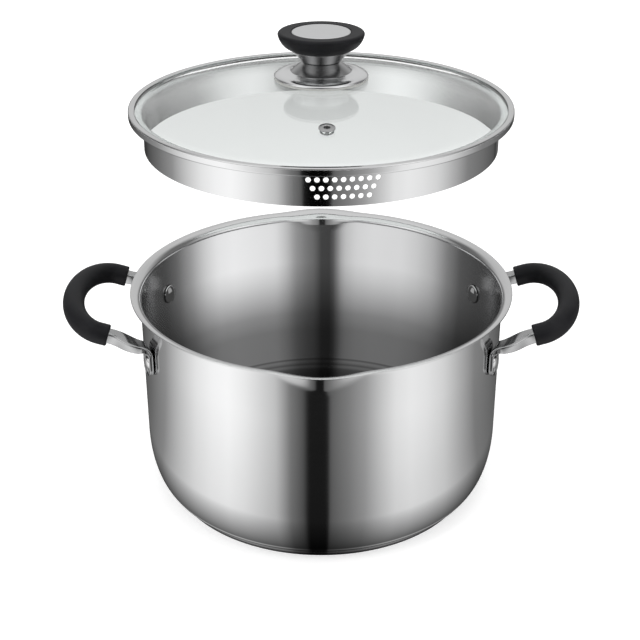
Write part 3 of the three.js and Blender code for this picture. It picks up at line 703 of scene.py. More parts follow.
def handle_path():
    """Both halves of the path, with the channel's three directions, its width and its depth."""
    points, sides, narrowing, tongue, grip_first = handle_half()
    mirror = np.array([1, -1, 1])
    points = np.concatenate([points, points[-2::-1] * mirror])
    sides = np.concatenate([sides, sides[-2::-1] * mirror])
    narrowing = np.concatenate([narrowing, narrowing[-2::-1]])
    tongue = np.concatenate([tongue, tongue[-2::-1]])
    forward = unit(np.gradient(points, axis=0))
    sides = unit(sides - forward * np.sum(sides * forward, axis=1, keepdims=True))
    ease = smooth_step(narrowing)
    width = (FOOT_WIDTH + (CHANNEL_WIDTH - FOOT_WIDTH) * ease) * tongue
    depth = FOOT_DEPTH + (CHANNEL_DEPTH - FOOT_DEPTH) * ease
    return {
        "points": points, "side": sides, "inwards": np.cross(sides, forward),
        "width": width, "depth": depth, "grip_first": grip_first}


right_path = handle_path()
print("handle path has", len(right_path["points"]), "stations")

# %% Handle channels


def channel_outline():
    """The channel's section as four numbers a point: how it follows the half width, how it follows
    the depth, and what is added to either. Its corners are rounded by arcs of constant size."""
    thick = CHANNEL_SHEET
    corners = [
        (-1, 1, 0.0, 0.0, 0.6, 180, 90), (-1, 1, thick, 0.0, 0.6, 90, 0),
        (-1, 0, thick, thick, 0.7, 180, 270), (1, 0, -thick, thick, 0.7, 270, 360),
        (1, 1, -thick, 0.0, 0.6, 180, 90), (1, 1, 0.0, 0.0, 0.6, 90, 0),
        (1, 0, 0.0, 0.0, 1.6, 0, -90), (-1, 0, 0.0, 0.0, 1.6, 270, 180)]
    rows = []
    for width_share, depth_share, x, y, radius, start, stop in corners:
        middle = (start + stop) / 2
        inward = np.sign(np.cos(np.radians(middle))), np.sign(np.sin(np.radians(middle)))
        curve = arc((x - inward[0] * radius, y - inward[1] * radius), (radius, radius), start, stop, 6)
        shares = np.broadcast_to((width_share, depth_share), curve.shape)
        rows.append(np.concatenate([shares, curve], axis=1))
    return np.concatenate(rows)


def channel_surface(path):
    """Carry the channel's outline along a path: each point is the station plus the side direction
    times its place across, plus the inwards direction times its depth."""
    outline = channel_outline()
    half = path["width"][:, None] / 2
    scale = np.minimum(1.0, 0.6 * half / CHANNEL_SHEET)
    across = outline[None, :, 0] * half + outline[None, :, 2] * scale
    deep = outline[None, :, 1] * path["depth"][:, None] + outline[None, :, 3] * scale
    surface = (path["points"][:, None] + across[..., None] * path["side"][:, None]
               + deep[..., None] * path["inwards"][:, None])
    first = np.broadcast_to(surface[:1].mean(axis=1, keepdims=True), surface[:1].shape)
    last = np.broadcast_to(surface[-1:].mean(axis=1, keepdims=True), surface[-1:].shape)
    return np.concatenate([first, surface, last])


def both_hands(kind, surface, finish, solid):
    """The right handle's piece as it is, and the left one's turned half round about Z."""
    for hand, turn in (("right", 1), ("left", -1)):
        name = f"handle_{hand}_{kind}"
        mesh = grid_mesh(name, surface * np.array([turn, turn, 1]), close_columns=True)
        add_piece(name, mesh, finish, "pot", f"handle_{hand}_{solid}")


# The channels get a darker copy of the steel: painted shade.
both_hands("channel", channel_surface(right_path), painted_shade_handle_steel, "frame")

# %% [markdown]
# ## Silicone sleeves
#
# A thick sleeve of silicone is drawn over the loop and is what the hand touches. It is a round tube
# along the loop whose radius draws in at both ends, so that the cut edges are soft.

# %% Silicone sleeves


def sleeve_surface(path, sides=48):
    """A tube round the channel's middle: the path is measured by length, and the radius follows a
    quarter circle at each end and is constant between."""
    first = path["grip_first"]
    covered = slice(first, len(path["points"]) - first)
    middle = path["points"][covered] + path["inwards"][covered] * CHANNEL_DEPTH / 2
    length = np.concatenate([[0], np.cumsum(np.linalg.norm(np.diff(middle, axis=0), axis=1))])
    edge = 1.0
    turn = np.linspace(0, np.pi / 2, 10)
    lead = edge * (1 - np.cos(turn))
    grow = GRIP_RADIUS - edge + edge * np.sin(turn)
    run = np.linspace(edge, length[-1] - edge, 120)[1:-1]
    at = np.concatenate([[0], lead, run, length[-1] - lead[::-1], [length[-1]]])
    radius = np.concatenate([[0], grow, np.full(len(run), GRIP_RADIUS), grow[::-1], [0]])

    def along(values):
        return np.stack([np.interp(at, length, values[:, axis]) for axis in range(3)], -1)

    side, inwards = unit(along(path["side"][covered])), unit(along(path["inwards"][covered]))
    angle = full_turn(sides)[None, :, None]
    reach = radius[:, None, None]
    spoke = np.cos(angle) * side[:, None] + np.sin(angle) * inwards[:, None]
    return along(middle)[:, None] + reach * spoke


both_hands("sleeve", sleeve_surface(right_path), black_silicone, "grip")

# %% [markdown]
# ## Rivets
#
# One rivet goes through the wall and each foot. Its heads are low domes, so the profile is a quarter
# of an ellipse, a shank and another quarter of an ellipse, turned round an axis that points outwards.

# %% Rivets
INNER_HEAD, OUTER_HEAD = (7.0, 3.0), (5.0, 2.6)
SHANK_RADIUS = 3.0


def rivet_surface(azimuth):
    """A turned rivet laid along an azimuth: what was its height becomes the distance from Z."""
    inner_seat = np.sqrt((WALL_RADIUS - SHEET) ** 2 - INNER_HEAD[0] ** 2) - CONTACT
    outer_seat = WALL_RADIUS + CONTACT + CHANNEL_SHEET + CONTACT
    profile = np.concatenate([
        arc((0, inner_seat), INNER_HEAD, -90, 0, 16),
        [(SHANK_RADIUS, inner_seat), (SHANK_RADIUS, outer_seat)],
        arc((0, outer_seat), OUTER_HEAD, 0, 90, 16)])
    turned = revolved(profile, full_turn(40))
    out, aside, up = turned[..., 2], turned[..., 0], turned[..., 1]
    return np.stack([
        out * np.sin(azimuth) + aside * np.cos(azimuth),
        -out * np.cos(azimuth) + aside * np.sin(azimuth),
        up + RIVET_HEIGHT], -1)


rivet_places = {
    "rivet_right_front": RIVET_AZIMUTH, "rivet_right_rear": np.pi - RIVET_AZIMUTH,
    "rivet_left_rear": np.pi + RIVET_AZIMUTH, "rivet_left_front": -RIVET_AZIMUTH}
for node, azimuth in rivet_places.items():
    mesh = grid_mesh(node + "_dome", rivet_surface(azimuth), close_rows=True)
    add_piece(node + "_dome", mesh, bright_steel, "pot", node)

# %% [markdown]
# ## Lid ring with its strainer
#
# One strip of sheet is crimped over the edge of the glass, runs under it as a flange and turns down as
# a skirt. Holes are pierced in the skirt: fine ones in front and coarse ones behind. Boolean cuts
# would work, but they leave long slivers that show in a mirror finish. Here the grid is laid finer
# where the holes are, the faces inside a hole are left out, and the corners round it are moved onto
# the circle. Solidify then gives the sheet its thickness.

# %% Strainer holes


def hole_rows(counts, pitch, first_row, row_step, centre):
    """Places of holes on the unrolled skirt, across and down: rows centred on a line, each half a
    pitch out of step with the next where their counts differ by one."""
    rows = []
    for row, count in enumerate(counts):
        across = centre + (np.arange(count) - (count - 1) / 2) * pitch
        rows.append(np.stack([across, np.full(count, first_row + row * row_step)], -1))
    return np.concatenate(rows)


def pierce(across, down, holes, radius):
    """Which faces of a grid stay when round holes are pierced, and the grid with the corners round
    each hole moved onto its circle."""
    cell_across = (across[:-1, :-1] + across[1:, 1:]) / 2
    cell_down = (down[:-1, :-1] + down[1:, 1:]) / 2
    gone = np.zeros(cell_across.shape, bool)
    for centre in holes:
        gone |= np.hypot(cell_across - centre[0], cell_down - centre[1]) < radius
    padded = np.pad(gone, 1)
    touching = np.stack([padded[:-1, :-1], padded[1:, :-1], padded[:-1, 1:], padded[1:, 1:]])
    rim = touching.any(axis=0) & ~touching.all(axis=0)
    place = np.stack([across[rim], down[rim]], -1)
    offset = place[:, None] - holes[None]
    nearest = np.linalg.norm(offset, axis=2).argmin(axis=1)
    spoke = offset[np.arange(len(place)), nearest]
    place = holes[nearest] + unit(spoke) * radius
    across, down = across.copy(), down.copy()
    across[rim], down[rim] = place[:, 0], place[:, 1]
    return across, down, ~gone


def drawn_together(centres, half_widths, fine, coarse):
    """Azimuths once round: fine steps within each half width of a centre and coarse ones between."""
    pieces = []
    for here, (centre, half) in enumerate(zip(centres, half_widths)):
        following = centres[(here + 1) % len(centres)] + (2 * np.pi if here + 1 == len(centres) else 0)
        gap_end = following - half_widths[(here + 1) % len(centres)]
        pieces.append(np.linspace(centre - half, centre + half, int(2 * half / fine), endpoint=False))
        steps = int((gap_end - centre - half) / coarse)
        pieces.append(np.linspace(centre + half, gap_end, steps, endpoint=False))
    return np.concatenate(pieces)


# %% Lid ring
FINE_RADIUS, COARSE_RADIUS = 1.6, 2.75
FINE_CENTRE = np.radians(6.4)
FINE_STEP = 0.55
CRIMP_REACH, CRIMP_DROP, CRIMP_SLANT = 4.0, 0.45, 0.9
SKIRT_BEND = 1.6
fine_holes = hole_rows(
    (9, 8, 7), pitch=5.0, first_row=5.0, row_step=5.1, centre=FINE_CENTRE * SKIRT_RADIUS)
coarse_holes = hole_rows((5, 4), pitch=9.0, first_row=8.0, row_step=8.0, centre=np.pi * SKIRT_RADIUS)
crimp_inner = RING_RADIUS - CRIMP_REACH
skirt_top = FLANGE_HEIGHT - SKIRT_BEND
ring_corners = [
    (crimp_inner, RING_TOP - CRIMP_DROP), (crimp_inner + CRIMP_SLANT, RING_TOP), (RING_RADIUS, RING_TOP),
    (RING_RADIUS, FLANGE_HEIGHT), (SKIRT_RADIUS, FLANGE_HEIGHT), (SKIRT_RADIUS, skirt_top)]
crimp = rounded(ring_corners, (0, 0.4, 1.3, 1.1, 1.0, 0))
skirt_down = np.linspace(SKIRT_BEND, FLANGE_HEIGHT - SKIRT_BOTTOM, 36)[1:]
skirt = np.stack([np.full(len(skirt_down), SKIRT_RADIUS), FLANGE_HEIGHT - skirt_down], -1)
ring_profile = np.concatenate([crimp, skirt])
ring_azimuths = drawn_together(
    centres=(FINE_CENTRE, np.pi), half_widths=(29.0 / SKIRT_RADIUS, 27.0 / SKIRT_RADIUS),
    fine=FINE_STEP / SKIRT_RADIUS, coarse=np.radians(1.6))
closed_azimuths = np.append(ring_azimuths, ring_azimuths[0] + 2 * np.pi)
across, down = np.meshgrid(closed_azimuths * SKIRT_RADIUS, FLANGE_HEIGHT - ring_profile[:, 1], indexing="ij")
across, down, fine_kept = pierce(across, down, fine_holes, FINE_RADIUS)
across, down, coarse_kept = pierce(across, down, coarse_holes, COARSE_RADIUS)
below = np.arange(len(ring_profile)) >= len(crimp)
radius = np.broadcast_to(ring_profile[None, :, 0], across.shape)
height = np.where(below[None], FLANGE_HEIGHT - down, ring_profile[None, :, 1])
turn = np.where(below[None], across / SKIRT_RADIUS, closed_azimuths[:, None])
ring_points = np.stack([radius * np.sin(turn), -radius * np.cos(turn), height], -1)
kept = fine_kept & coarse_kept
kept[:, :len(crimp) - 1] = True
ring_mesh = grid_mesh("lid_band", ring_points, keep=kept, outward=False)
ring_piece = add_piece("lid_band", ring_mesh, lid_steel, "lid", "lid_ring")
thicken(ring_piece, RING_SHEET)

# %% [markdown]
# ## Glass
#
# The pane is a shallow dome with a flat border that sits in the crimp. Its upper face is a grid from
# the screw hole to the edge, pierced at the vent, and Solidify gives it its thickness downwards.

# %% Glass
glass_top = RING_TOP - RING_SHEET - CONTACT
dome_radius = GLASS_RADIUS - GLASS_BORDER
dome_rise = GLASS_APEX - glass_top
DOME_CURVE = (dome_radius ** 2 + dome_rise ** 2) / (2 * dome_rise)
VENT_OFFSET = 79.0
VENT_AZIMUTH = np.radians(2.4)
VENT_HOLE, VENT_ZONE = 3.4, 6.0
DOME_BLEND, FLAT_EDGE = 5.0, 1.0


def dome_height(distance):
    """Height of the sphere that the dome is a part of."""
    return GLASS_APEX - DOME_CURVE + np.sqrt(DOME_CURVE ** 2 - distance ** 2)


def glass_height(distance):
    """Height of the pane's upper face: a part of a sphere inside, a flat border outside, and between
    them a bridge whose slope eases from the sphere's to level."""
    start = dome_radius - DOME_BLEND
    reach = GLASS_RADIUS - FLAT_EDGE - start
    slope = -start / np.sqrt(DOME_CURVE ** 2 - start ** 2)
    share = np.clip((distance - start) / reach, 0, 1)
    eased = dome_height(start) + slope * reach * (share - share ** 3 + share ** 4 / 2)
    lift = (glass_top - dome_height(start) - slope * reach / 2) * smooth_step(share)
    return np.where(distance < start, dome_height(np.minimum(distance, dome_radius)), eased + lift)


glass_distance = np.concatenate([
    np.linspace(SCREW_HOLE, VENT_OFFSET - VENT_ZONE, 36, endpoint=False),
    np.linspace(VENT_OFFSET - VENT_ZONE, VENT_OFFSET + VENT_ZONE, 22, endpoint=False),
    np.linspace(VENT_OFFSET + VENT_ZONE, dome_radius - DOME_BLEND, 14, endpoint=False),
    np.linspace(dome_radius - DOME_BLEND, GLASS_RADIUS, 22)])
glass_azimuths = drawn_together(
    centres=(VENT_AZIMUTH, np.pi), half_widths=(VENT_ZONE / VENT_OFFSET, 0.2),
    fine=FINE_STEP / VENT_OFFSET, coarse=np.radians(2.2))
closed_glass = np.append(glass_azimuths, glass_azimuths[0] + 2 * np.pi)
across, out = np.meshgrid(closed_glass * VENT_OFFSET, glass_distance, indexing="ij")
vent_place = np.array([[VENT_AZIMUTH * VENT_OFFSET, VENT_OFFSET]])
across, out, glass_kept = pierce(across, out, vent_place, VENT_HOLE)
turn = across / VENT_OFFSET
pane = np.stack([out * np.sin(turn), -out * np.cos(turn), glass_height(out)], -1)
glass_mesh = grid_mesh("lid_pane", pane, keep=glass_kept, outward=False)
glass_piece = add_piece("lid_pane", glass_mesh, clear_glass, "lid", "lid_glass")
thicken(glass_piece, GLASS_THICKNESS)

# %% [markdown]
# ## Vent
#
# A steel eyelet is rolled into the pane to let steam out. It is turned like the rest, then tilted so
# that it stands square to the dome.

# %% Vent


def on_the_dome(points):
    """Turn points made along Z so that Z is square to the dome at the vent, and move them there."""
    tilt = np.arcsin(VENT_OFFSET / DOME_CURVE)
    x, y, z = points[..., 0], points[..., 1], points[..., 2]
    y, z = y * np.cos(tilt) - z * np.sin(tilt), y * np.sin(tilt) + z * np.cos(tilt)
    y = y - VENT_OFFSET
    z = z + glass_height(np.array(VENT_OFFSET))
    cosine, sine = np.cos(VENT_AZIMUTH), np.sin(VENT_AZIMUTH)
    return np.stack([x * cosine - y * sine, x * sine + y * cosine, z], -1)


under = -GLASS_THICKNESS - CONTACT
vent_corners = [
    (1.8, 1.1), (3.4, 1.1), (5.0, 0.8), (5.0, CONTACT), (3.2, CONTACT), (3.2, under),
    (4.2, under), (4.2, under - 0.4), (1.8, under - 0.4)]
vent_section = rounded(vent_corners, (0.5, 0.6, 0.2, 0.15, 0.1, 0.1, 0.15, 0.15, 0.3))
vent_points = on_the_dome(revolved(vent_section, full_turn(40)))
vent_mesh = grid_mesh("vent_eyelet", vent_points, close_rows=True, close_columns=True)
# The eyelet gets the darker copy of the steel: painted shade.
add_piece("vent_eyelet", vent_mesh, painted_shade_cone_steel, "lid", "steam_vent")

# %% [markdown]
# ## Knob
#
# The knob is a stack on one screw: a spun flange with the lower half of the waist, a spun cup with the
# upper half, a black grip and a brushed inlay. Each is a turned section with rounded edges. The inlay
# is what the lid turns on, so it rides on a body of its own.

# %% Knob: flange and waist
base_low, base_high = node_box("knob_base")
stem_low, stem_high = node_box("knob_stem")
grip_low, grip_high = node_box("knob_grip")
inlay_low, inlay_high = node_box("knob_cap")
BASE_RADIUS, WAIST_RADIUS, SHOULDER_RADIUS = base_high[0], 12.0, 19.5
BASE_RIM, BASE_ROUND = 2.2, 6.0
KNOB_SHEET = 1.2
CONE_SHEET = KNOB_SHEET * np.sqrt(2)
LOWER_RISE = 6.2
GASKET_WIDTH = 5.0
KNOB_STEPS = 128
CONE_EDGE = 0.2
rim, waist = base_low[2], base_high[2]
shoulder = waist - LOWER_RISE
waist_reach = SHOULDER_RADIUS - WAIST_RADIUS
inset = CONE_SHEET - KNOB_SHEET * waist_reach / LOWER_RISE
base_corners = [
    (BASE_RADIUS - BASE_ROUND, rim + BASE_RIM), (SHOULDER_RADIUS, shoulder), (WAIST_RADIUS, waist),
    (SCREW_HOLE, waist), (SCREW_HOLE, waist - KNOB_SHEET), (WAIST_RADIUS - inset, waist - KNOB_SHEET),
    (SHOULDER_RADIUS - inset, shoulder - KNOB_SHEET), (BASE_RADIUS - GASKET_WIDTH, rim)]
base_section = np.concatenate([
    arc((BASE_RADIUS - BASE_ROUND, rim), (BASE_ROUND, BASE_RIM), 0, 90, 24),
    rounded(base_corners, (0, 0.5, 0.25, 0, 0, 0.3, 0.3, 0))])
# The flange is painted paler as painted light, and the faces of its cone darker as painted shade.
base_mesh = turned_piece(
    "knob_flange", base_section, KNOB_STEPS, painted_light_knob_steel, "lid", "knob_base", hollow=True)
_, high, outwards, _ = face_places(base_mesh)
second_finish(base_mesh, (outwards > CONE_EDGE) & (high > shoulder + CONE_EDGE), painted_shade_cone_steel)

stem_foot, stem_top = stem_low[2], stem_high[2]
inset = CONE_SHEET - KNOB_SHEET * waist_reach / (stem_top - stem_foot)
stem_corners = [
    (SCREW_HOLE, stem_foot), (WAIST_RADIUS, stem_foot), (SHOULDER_RADIUS, stem_top),
    (SHOULDER_RADIUS - CONE_SHEET, stem_top), (WAIST_RADIUS - inset, stem_foot + KNOB_SHEET),
    (SCREW_HOLE, stem_foot + KNOB_SHEET)]
stem_section = rounded(stem_corners, (0, 0.25, 0.3, 0.3, 0.3, 0))
# The cup gets the darker copy of the steel: painted shade.
turned_piece(
    "knob_cup", stem_section, KNOB_STEPS, painted_shade_cone_steel, "lid", "knob_stem", hollow=True)

# %% Knob: grip and inlay
GRIP_WIDEST, GRIP_FLARE, GRIP_EDGE = grip_high[0], 8.8, 2.2
GRIP_FULLNESS = 0.7
POCKET_RADIUS, POCKET_ROOF = 6.3, 2.0
grip_foot, grip_top = grip_low[2], grip_high[2]
widest_height = grip_foot + GRIP_FLARE
recess_radius = inlay_high[0] + CONTACT
seat = inlay_low[2] - CONTACT
pocket_top = seat - POCKET_ROOF
flank = arc((SHOULDER_RADIUS, widest_height), (GRIP_WIDEST - SHOULDER_RADIUS, GRIP_FLARE), -90, 0, 36)
share = np.linspace(0, 1, len(flank))[:, None]
chord = flank[:1] * (1 - share) + flank[-1:] * share
grip_section = np.concatenate([
    [(0, pocket_top), (POCKET_RADIUS, pocket_top), (POCKET_RADIUS, grip_foot)],
    flank * GRIP_FULLNESS + chord * (1 - GRIP_FULLNESS),
    arc((GRIP_WIDEST - GRIP_EDGE, widest_height), (GRIP_EDGE, grip_top - widest_height), 4, 90, 18),
    arc((recess_radius + 0.5, grip_top - 0.5), (0.5, 0.5), 90, 180, 8),
    [(recess_radius, seat), (0, seat)]])
turned_piece(
    "knob_handle", grip_section, KNOB_STEPS, black_silicone, "lid", "knob_grip")

inlay_corners = [
    (0, inlay_low[2]), (inlay_high[0], inlay_low[2]), (inlay_high[0], inlay_high[2] - 0.35),
    (inlay_high[0] - 0.9, inlay_high[2]), (0, inlay_high[2])]
inlay_section = rounded(inlay_corners, (0, 0.2, 0.3, 0.3, 0))
turned_piece("knob_inlay", inlay_section, KNOB_STEPS, inlay_steel, "lid_hub", "knob_cap")

# %% [markdown]
# ## Fixings under the glass
#
# Below the pane the screw's head clamps a washer and a silicone ring, and another ring lies between
# the knob and the glass. They show through the pane from below, so they get rounded edges too, and
# the screw gets a crossed slot.

# %% Fixings
RING_EDGE = 0.25
for node, finish, slot in (
        ("knob_washer", bright_steel, "polished_steel"),
        ("knob_gasket_lower", pale_silicone, "pale_silicone"),
        ("knob_gasket_upper", pale_silicone, "pale_silicone")):
    low, high = node_box(node)
    inner = high[0] - GASKET_WIDTH if node == "knob_gasket_upper" else SCREW_HOLE
    corners = [(inner, low[2]), (high[0], low[2]), (high[0], high[2]), (inner, high[2])]
    ring_section = rounded(corners, (RING_EDGE,) * 4)
    turned_piece(node + "_ring", ring_section, 96, finish, "lid", node, hollow=True)

HEAD_RADIUS, HEAD_HEIGHT, THREAD_RADIUS = 5.0, 3.0, 2.5
SLOT_DEPTH, SLOT_HALF_WIDTH, SLOT_REACH, SLOT_RIM = 1.4, 0.55, 3.4, 0.3
screw_low, screw_high = node_box("knob_screw")
head_top = screw_low[2] + HEAD_HEIGHT
screw_section = np.concatenate([
    arc((0, head_top), (HEAD_RADIUS, HEAD_HEIGHT), -90, 0, 24),
    [(THREAD_RADIUS, head_top), (THREAD_RADIUS, screw_high[2]), (0, screw_high[2])]])
screw_points = revolved(screw_section, full_turn(96))
across, along = np.abs(screw_points[..., 0]), np.abs(screw_points[..., 1])
slotted = (np.hypot(across, along) < SLOT_REACH) & (screw_points[..., 2] < head_top - SLOT_RIM)
depth = SLOT_DEPTH * np.exp(-(np.minimum(across, along) / SLOT_HALF_WIDTH) ** 4)
screw_points[..., 2] += depth * slotted
screw_mesh = grid_mesh("knob_screw_head", screw_points, close_rows=True)
add_piece("knob_screw_head", screw_mesh, bright_steel, "lid", "knob_screw")
repaint("knob_insert", bright_steel)

# %% [markdown]
# ## Studio
#
# Polished steel shows its surroundings more than itself, so the studio is mostly what the steel sees:
# tall bright panels to the left and right, a black strip in line with the camera and dimness behind.
# The panels are ramps of tones by bearing, laid out three times. The room carries them for what faces
# out or up. An upright wall reflects downwards to a camera that looks down on it, so they also lie on
# a table. The inside of the pot would mostly mirror itself, so curved reflectors stand a little inside
# its wall, with a small even light at each rivet. Only mirror reflections see the table and the
# reflectors. The floor is plain and pale from above and clear from below.

# %% Studio: panels by bearing
TABLE_TONES = {
    -180: 0.05, -149: 0.03, -124: 0.14, -107: 0.26, -93: 0.54, -80: 0.78, -69: 0.90, -58: 0.95, -48: 0.85,
    -38: 0.69, -28: 0.53, -19: 0.185, -11: 0.08, -8: 0.01, 4: 0.01, 6: 0.11, 17: 0.20, 27: 0.32, 36: 0.53,
    46: 0.75, 56: 0.82, 66: 0.77, 78: 0.65, 90: 0.43, 104: 0.21, 120: 0.15, 142: 0.07, 146: 0.03, 152: 0.10,
    180: 0.05}
ROOM_TONES = {
    -180: 0.50, -150: 0.45, -125: 0.14, -105: 0.12, -85: 0.45, -60: 0.90, -40: 0.75, -22: 0.26, -11: 0.14,
    -8: 0.02, 4: 0.02, 6: 0.17, 20: 0.30, 36: 0.70, 54: 0.95, 75: 0.60, 100: 0.14, 125: 0.14, 150: 0.45,
    180: 0.50}
INSIDE_TONES = {
    -60: 0.05, -54: 0.12, -48: 0.30, -42: 0.59, -37: 0.78, -31: 0.83, -26: 0.80, -16: 0.73, -12: 0.52,
    -9: 0.30, -5: 0.18, -2: 0.13, -0.5: 0.055, 3.4: 0.05, 5: 0.14, 6.6: 0.37, 8.5: 0.52, 12: 0.64, 18: 0.69,
    28: 0.67, 34: 0.58, 40: 0.43, 46: 0.20, 52: 0.08, 60: 0.05}
INSIDE_FALL = {0: 0.18, 20: 0.20, 45: 0.21, 60: 0.31, 75: 0.55, 90: 0.80, 105: 1.0}
PANEL_GAIN = 1.4


def panel_tone(finish, tones, x, y):
    """The studio's tone in the direction of x and y: the bearing is the arc tangent of x over minus y,
    which is 0 towards the camera, and the tones between the stops are blended."""
    bearing = x.math("ARCTAN2", x, 0 - y) / (2 * np.pi) + 0.5
    return finish.ramp(bearing, [(angle / 360 + 0.5, tone) for angle, tone in tones.items()])


def ray_is(finish, kind):
    """1 where the light is looked up by a ray of this kind, such as Camera or Glossy, and 0 elsewhere."""
    return finish.node("ShaderNodeLightPath", output=f"Is {kind} Ray")


# %% Studio: floor and table


def stage_piece(name, mesh, material, mirrored_only=True):
    """A piece of the studio. One that is mirrored only is seen by mirror reflections and nothing else."""
    mesh.materials.append(material)
    piece = bpy.data.objects.new(name, mesh)
    bpy.context.scene.collection.objects.link(piece)
    if mirrored_only:
        piece.visible_camera = False
        piece.visible_diffuse = False
        piece.visible_shadow = False
        piece.visible_transmission = False


def stage_disc(name, radius, height, material, mirrored_only):
    """A level disc whose faces point down, so that it is their backs that are seen from above."""
    section = np.array([(0, height), (radius, height)])
    mesh = grid_mesh(name, revolved(section, full_turn(64)), close_rows=True)
    stage_piece(name, mesh, material, mirrored_only)


floor_material, floor = new_finish("studio_floor")
behind_glass = ray_is(floor, "Transmission")
before_glass = (ray_is(floor, "Camera") + ray_is(floor, "Glossy")) * (1 - behind_glass)
x, y = floor.axes()[:2]
far = floor.rise(radius_of(x, y), start=0.6, reach=0.8)
floor.surface({
    "Base Color": grey(0.90),
    "Roughness": 0.2,
    "Specular IOR Level": 0.3,
    "Emission Color": before_glass * (far * 0.5 + 0.5) + behind_glass * 0.08,
    "Emission Strength": 1.0,
    "Alpha": floor.node("ShaderNodeNewGeometry", output="Backfacing"),
})
stage_disc("studio_floor", 6000.0, 0.0, floor_material, mirrored_only=False)

table_material, table = new_finish("studio_table")
FOOT_LINE, FOOT_LINE_HALF = 0.1125, 0.0025
STRIP_LEFT, STRIP_RIGHT = -0.205, 0.11
x, y = table.axes()[:2]
focus = WALL_RADIUS / 2 * MM
distance = radius_of(x, y)
near = table.rise(distance, start=0.112, reach=0.05)
foot_line = table.clamp(1 - x.math("ABSOLUTE", distance - FOOT_LINE) / FOOT_LINE_HALF)
sideways = x / (0 - y - focus)
in_strip = (sideways.math("GREATER_THAN", sideways, STRIP_LEFT)
            * sideways.math("LESS_THAN", sideways, STRIP_RIGHT))
gap = in_strip * table.rise(distance, start=0.40, reach=0.10)
shaded = table.rise(distance, start=0.15, reach=0.15) * 0.2 + 0.8
near_tone = (near * 0.9 + 0.1 + foot_line * 0.45) * shaded
tone = panel_tone(table, TABLE_TONES, x, y + focus) * near_tone * (1 - gap * 0.95)
glow = table.node("ShaderNodeEmission", {}, {0: tone, 1: PANEL_GAIN})
table.node("ShaderNodeOutputMaterial", {}, {0: glow})
stage_disc("studio_table", 3000.0, 0.4, table_material, mirrored_only=True)

# %% Studio: the panels as the inside of the pot sees them


def inside_tone(finish):
    """A tone that follows the bearing from the pot's axis, behind as in front, and falls off downwards."""
    x, y = finish.axes()[:2]
    across = x * x.math("SIGN", y)
    along = 0 - x.math("ABSOLUTE", y)
    return panel_tone(finish, INSIDE_TONES, across, along) * height_ramp(finish, INSIDE_FALL)


def reflector_finish(name, even_tone=None):
    """Light towards the wall only: an even tone, or else the inside's tones. From within the reflector
    is clear."""
    material, inside = new_finish(name)
    tone = grey(even_tone) if even_tone else inside_tone(inside)
    glow = inside.node("ShaderNodeEmission", {}, {0: tone, 1: PANEL_GAIN})
    clear = inside.node("ShaderNodeBsdfTransparent")
    from_inside = inside.node("ShaderNodeNewGeometry", output="Backfacing")
    shader = inside.node("ShaderNodeMixShader", {}, {0: from_inside, 1: glow, 2: clear})
    inside.node("ShaderNodeOutputMaterial", {}, {0: shader})
    return material


REFLECTOR_GAP = 9.0
REFLECTOR_FOOT, REFLECTOR_TOP = 9.0, LIP_HEIGHT - 7.0
END_HALF, SIDE_HALF, RIVET_HALF = 63.5, 22.5, 2.0
LIGHT_FOOT, LIGHT_TOP, LIGHT_TONE = 117.0, 127.0, 0.30


def reflector(name, middle, half_width, material, low=REFLECTOR_FOOT, high=REFLECTOR_TOP):
    """A part of a cylinder a little inside the wall, on both sides of a bearing, between two heights."""
    turn = np.radians(middle + np.linspace(-half_width, half_width, 60))
    heights = np.linspace(low, high, 12)
    radius = np.full_like(heights, WALL_RADIUS - REFLECTOR_GAP)
    mesh = grid_mesh(name, revolved(np.stack([radius, heights], -1), turn), outward=False)
    stage_piece(name, mesh, material)


panels = reflector_finish("studio_reflector")
rivet_light = reflector_finish("studio_rivet_light", LIGHT_TONE)
for side, bearing, half_width in (
        ("rear", 180, END_HALF), ("front", 0, END_HALF), ("left", -90, SIDE_HALF), ("right", 90, SIDE_HALF)):
    reflector(f"studio_reflector_{side}", bearing, half_width, panels)
for number, bearing in enumerate((-114.5, -65.5, 65.5, 114.5)):
    reflector(f"studio_reflector_low_{number}", bearing, RIVET_HALF, panels, high=LIGHT_FOOT)
    reflector(f"studio_reflector_high_{number}", bearing, RIVET_HALF, panels, low=LIGHT_TOP)
    reflector(f"studio_rivet_light_{number}", bearing, RIVET_HALF, rivet_light, LIGHT_FOOT, LIGHT_TOP)

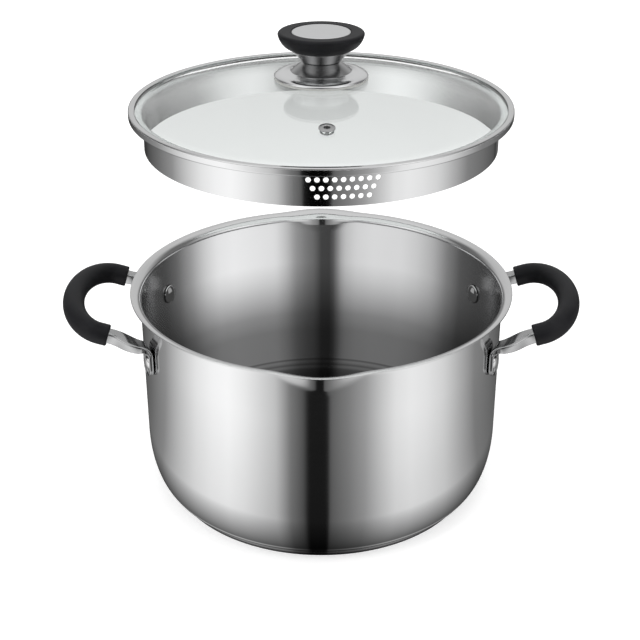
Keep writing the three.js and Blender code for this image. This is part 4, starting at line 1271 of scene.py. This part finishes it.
# %% Studio: world
OVERHEAD, AMBIENT = 0.60, 0.6
world = bpy.data.worlds.new("studio_world")
bpy.context.scene.world = world
world.use_nodes = True
sky = Finish(world.node_tree)
direction = sky.node("ShaderNodeTexCoord", output="Generated")
x, y, z = (sky.node("ShaderNodeSeparateXYZ", {}, {0: direction}, axis) for axis in range(3))
ceiling = sky.rise(z, start=0.62, reach=0.25)
horizon = sky.rise(z, start=0.04, reach=0.18) * 0.75 + 0.25
room = (panel_tone(sky, ROOM_TONES, x, y) * horizon * (1 - ceiling) + ceiling * OVERHEAD) * PANEL_GAIN
glossy_ray = ray_is(sky, "Glossy")
unseen = glossy_ray * room + (1 - glossy_ray) * AMBIENT
direct = sky.clamp(ray_is(sky, "Camera") + ray_is(sky, "Transmission"))
backdrop = sky.node("ShaderNodeBackground", {}, {0: direct + (1 - direct) * unseen, 1: 1.0})
sky.node("ShaderNodeOutputWorld", {}, {0: backdrop})

# %% Studio: lamps


def area_lamp(name, place, aim, size, power):
    """A square soft box at a place, facing a point. It lights matt surfaces, and steel and glass
    show the panels instead of it."""
    data = bpy.data.lights.new(name, "AREA")
    data.size = size
    data.energy = power
    lamp = bpy.data.objects.new(name, data)
    bpy.context.scene.collection.objects.link(lamp)
    lamp.location = place
    towards = np.array(aim, float) - np.array(place, float)
    pitch = np.arctan2(np.hypot(towards[0], towards[1]), -towards[2])
    lamp.rotation_euler = (pitch, 0, np.arctan2(towards[1], towards[0]) - np.pi / 2)
    lamp.visible_glossy = False
    lamp.visible_transmission = False


area_lamp("lamp_left", (-1.2, -0.9, 1.2), aim=(0, 0, 0.12), size=0.9, power=9)
area_lamp("lamp_right", (1.3, -0.7, 1.1), aim=(0, 0, 0.12), size=0.8, power=6)
area_lamp("lamp_top", (0.1, 0.2, 1.6), aim=(0, 0, 0.1), size=1.0, power=7)

# %% [markdown]
# ## Camera
#
# The camera stands straight in front of the spout and looks down by about 27 degrees, at the distance
# that the ovals of the lip, the lid and the base ask for.

# %% Camera
CAMERA_PLACE = (0, -0.7837, 0.5185)
CAMERA_PITCH = np.radians(27.0)
camera_data = bpy.data.cameras.new("camera")
camera_data.sensor_width = 36.0
camera_data.lens = 71.74
camera_data.shift_x = -1.2 / 640
camera = bpy.data.objects.new("camera", camera_data)
bpy.context.scene.collection.objects.link(camera)
camera.location = CAMERA_PLACE
camera.rotation_euler = (np.pi / 2 - CAMERA_PITCH, 0, 0)
bpy.context.scene.camera = camera
bpy.context.scene.view_settings.view_transform = "Standard"
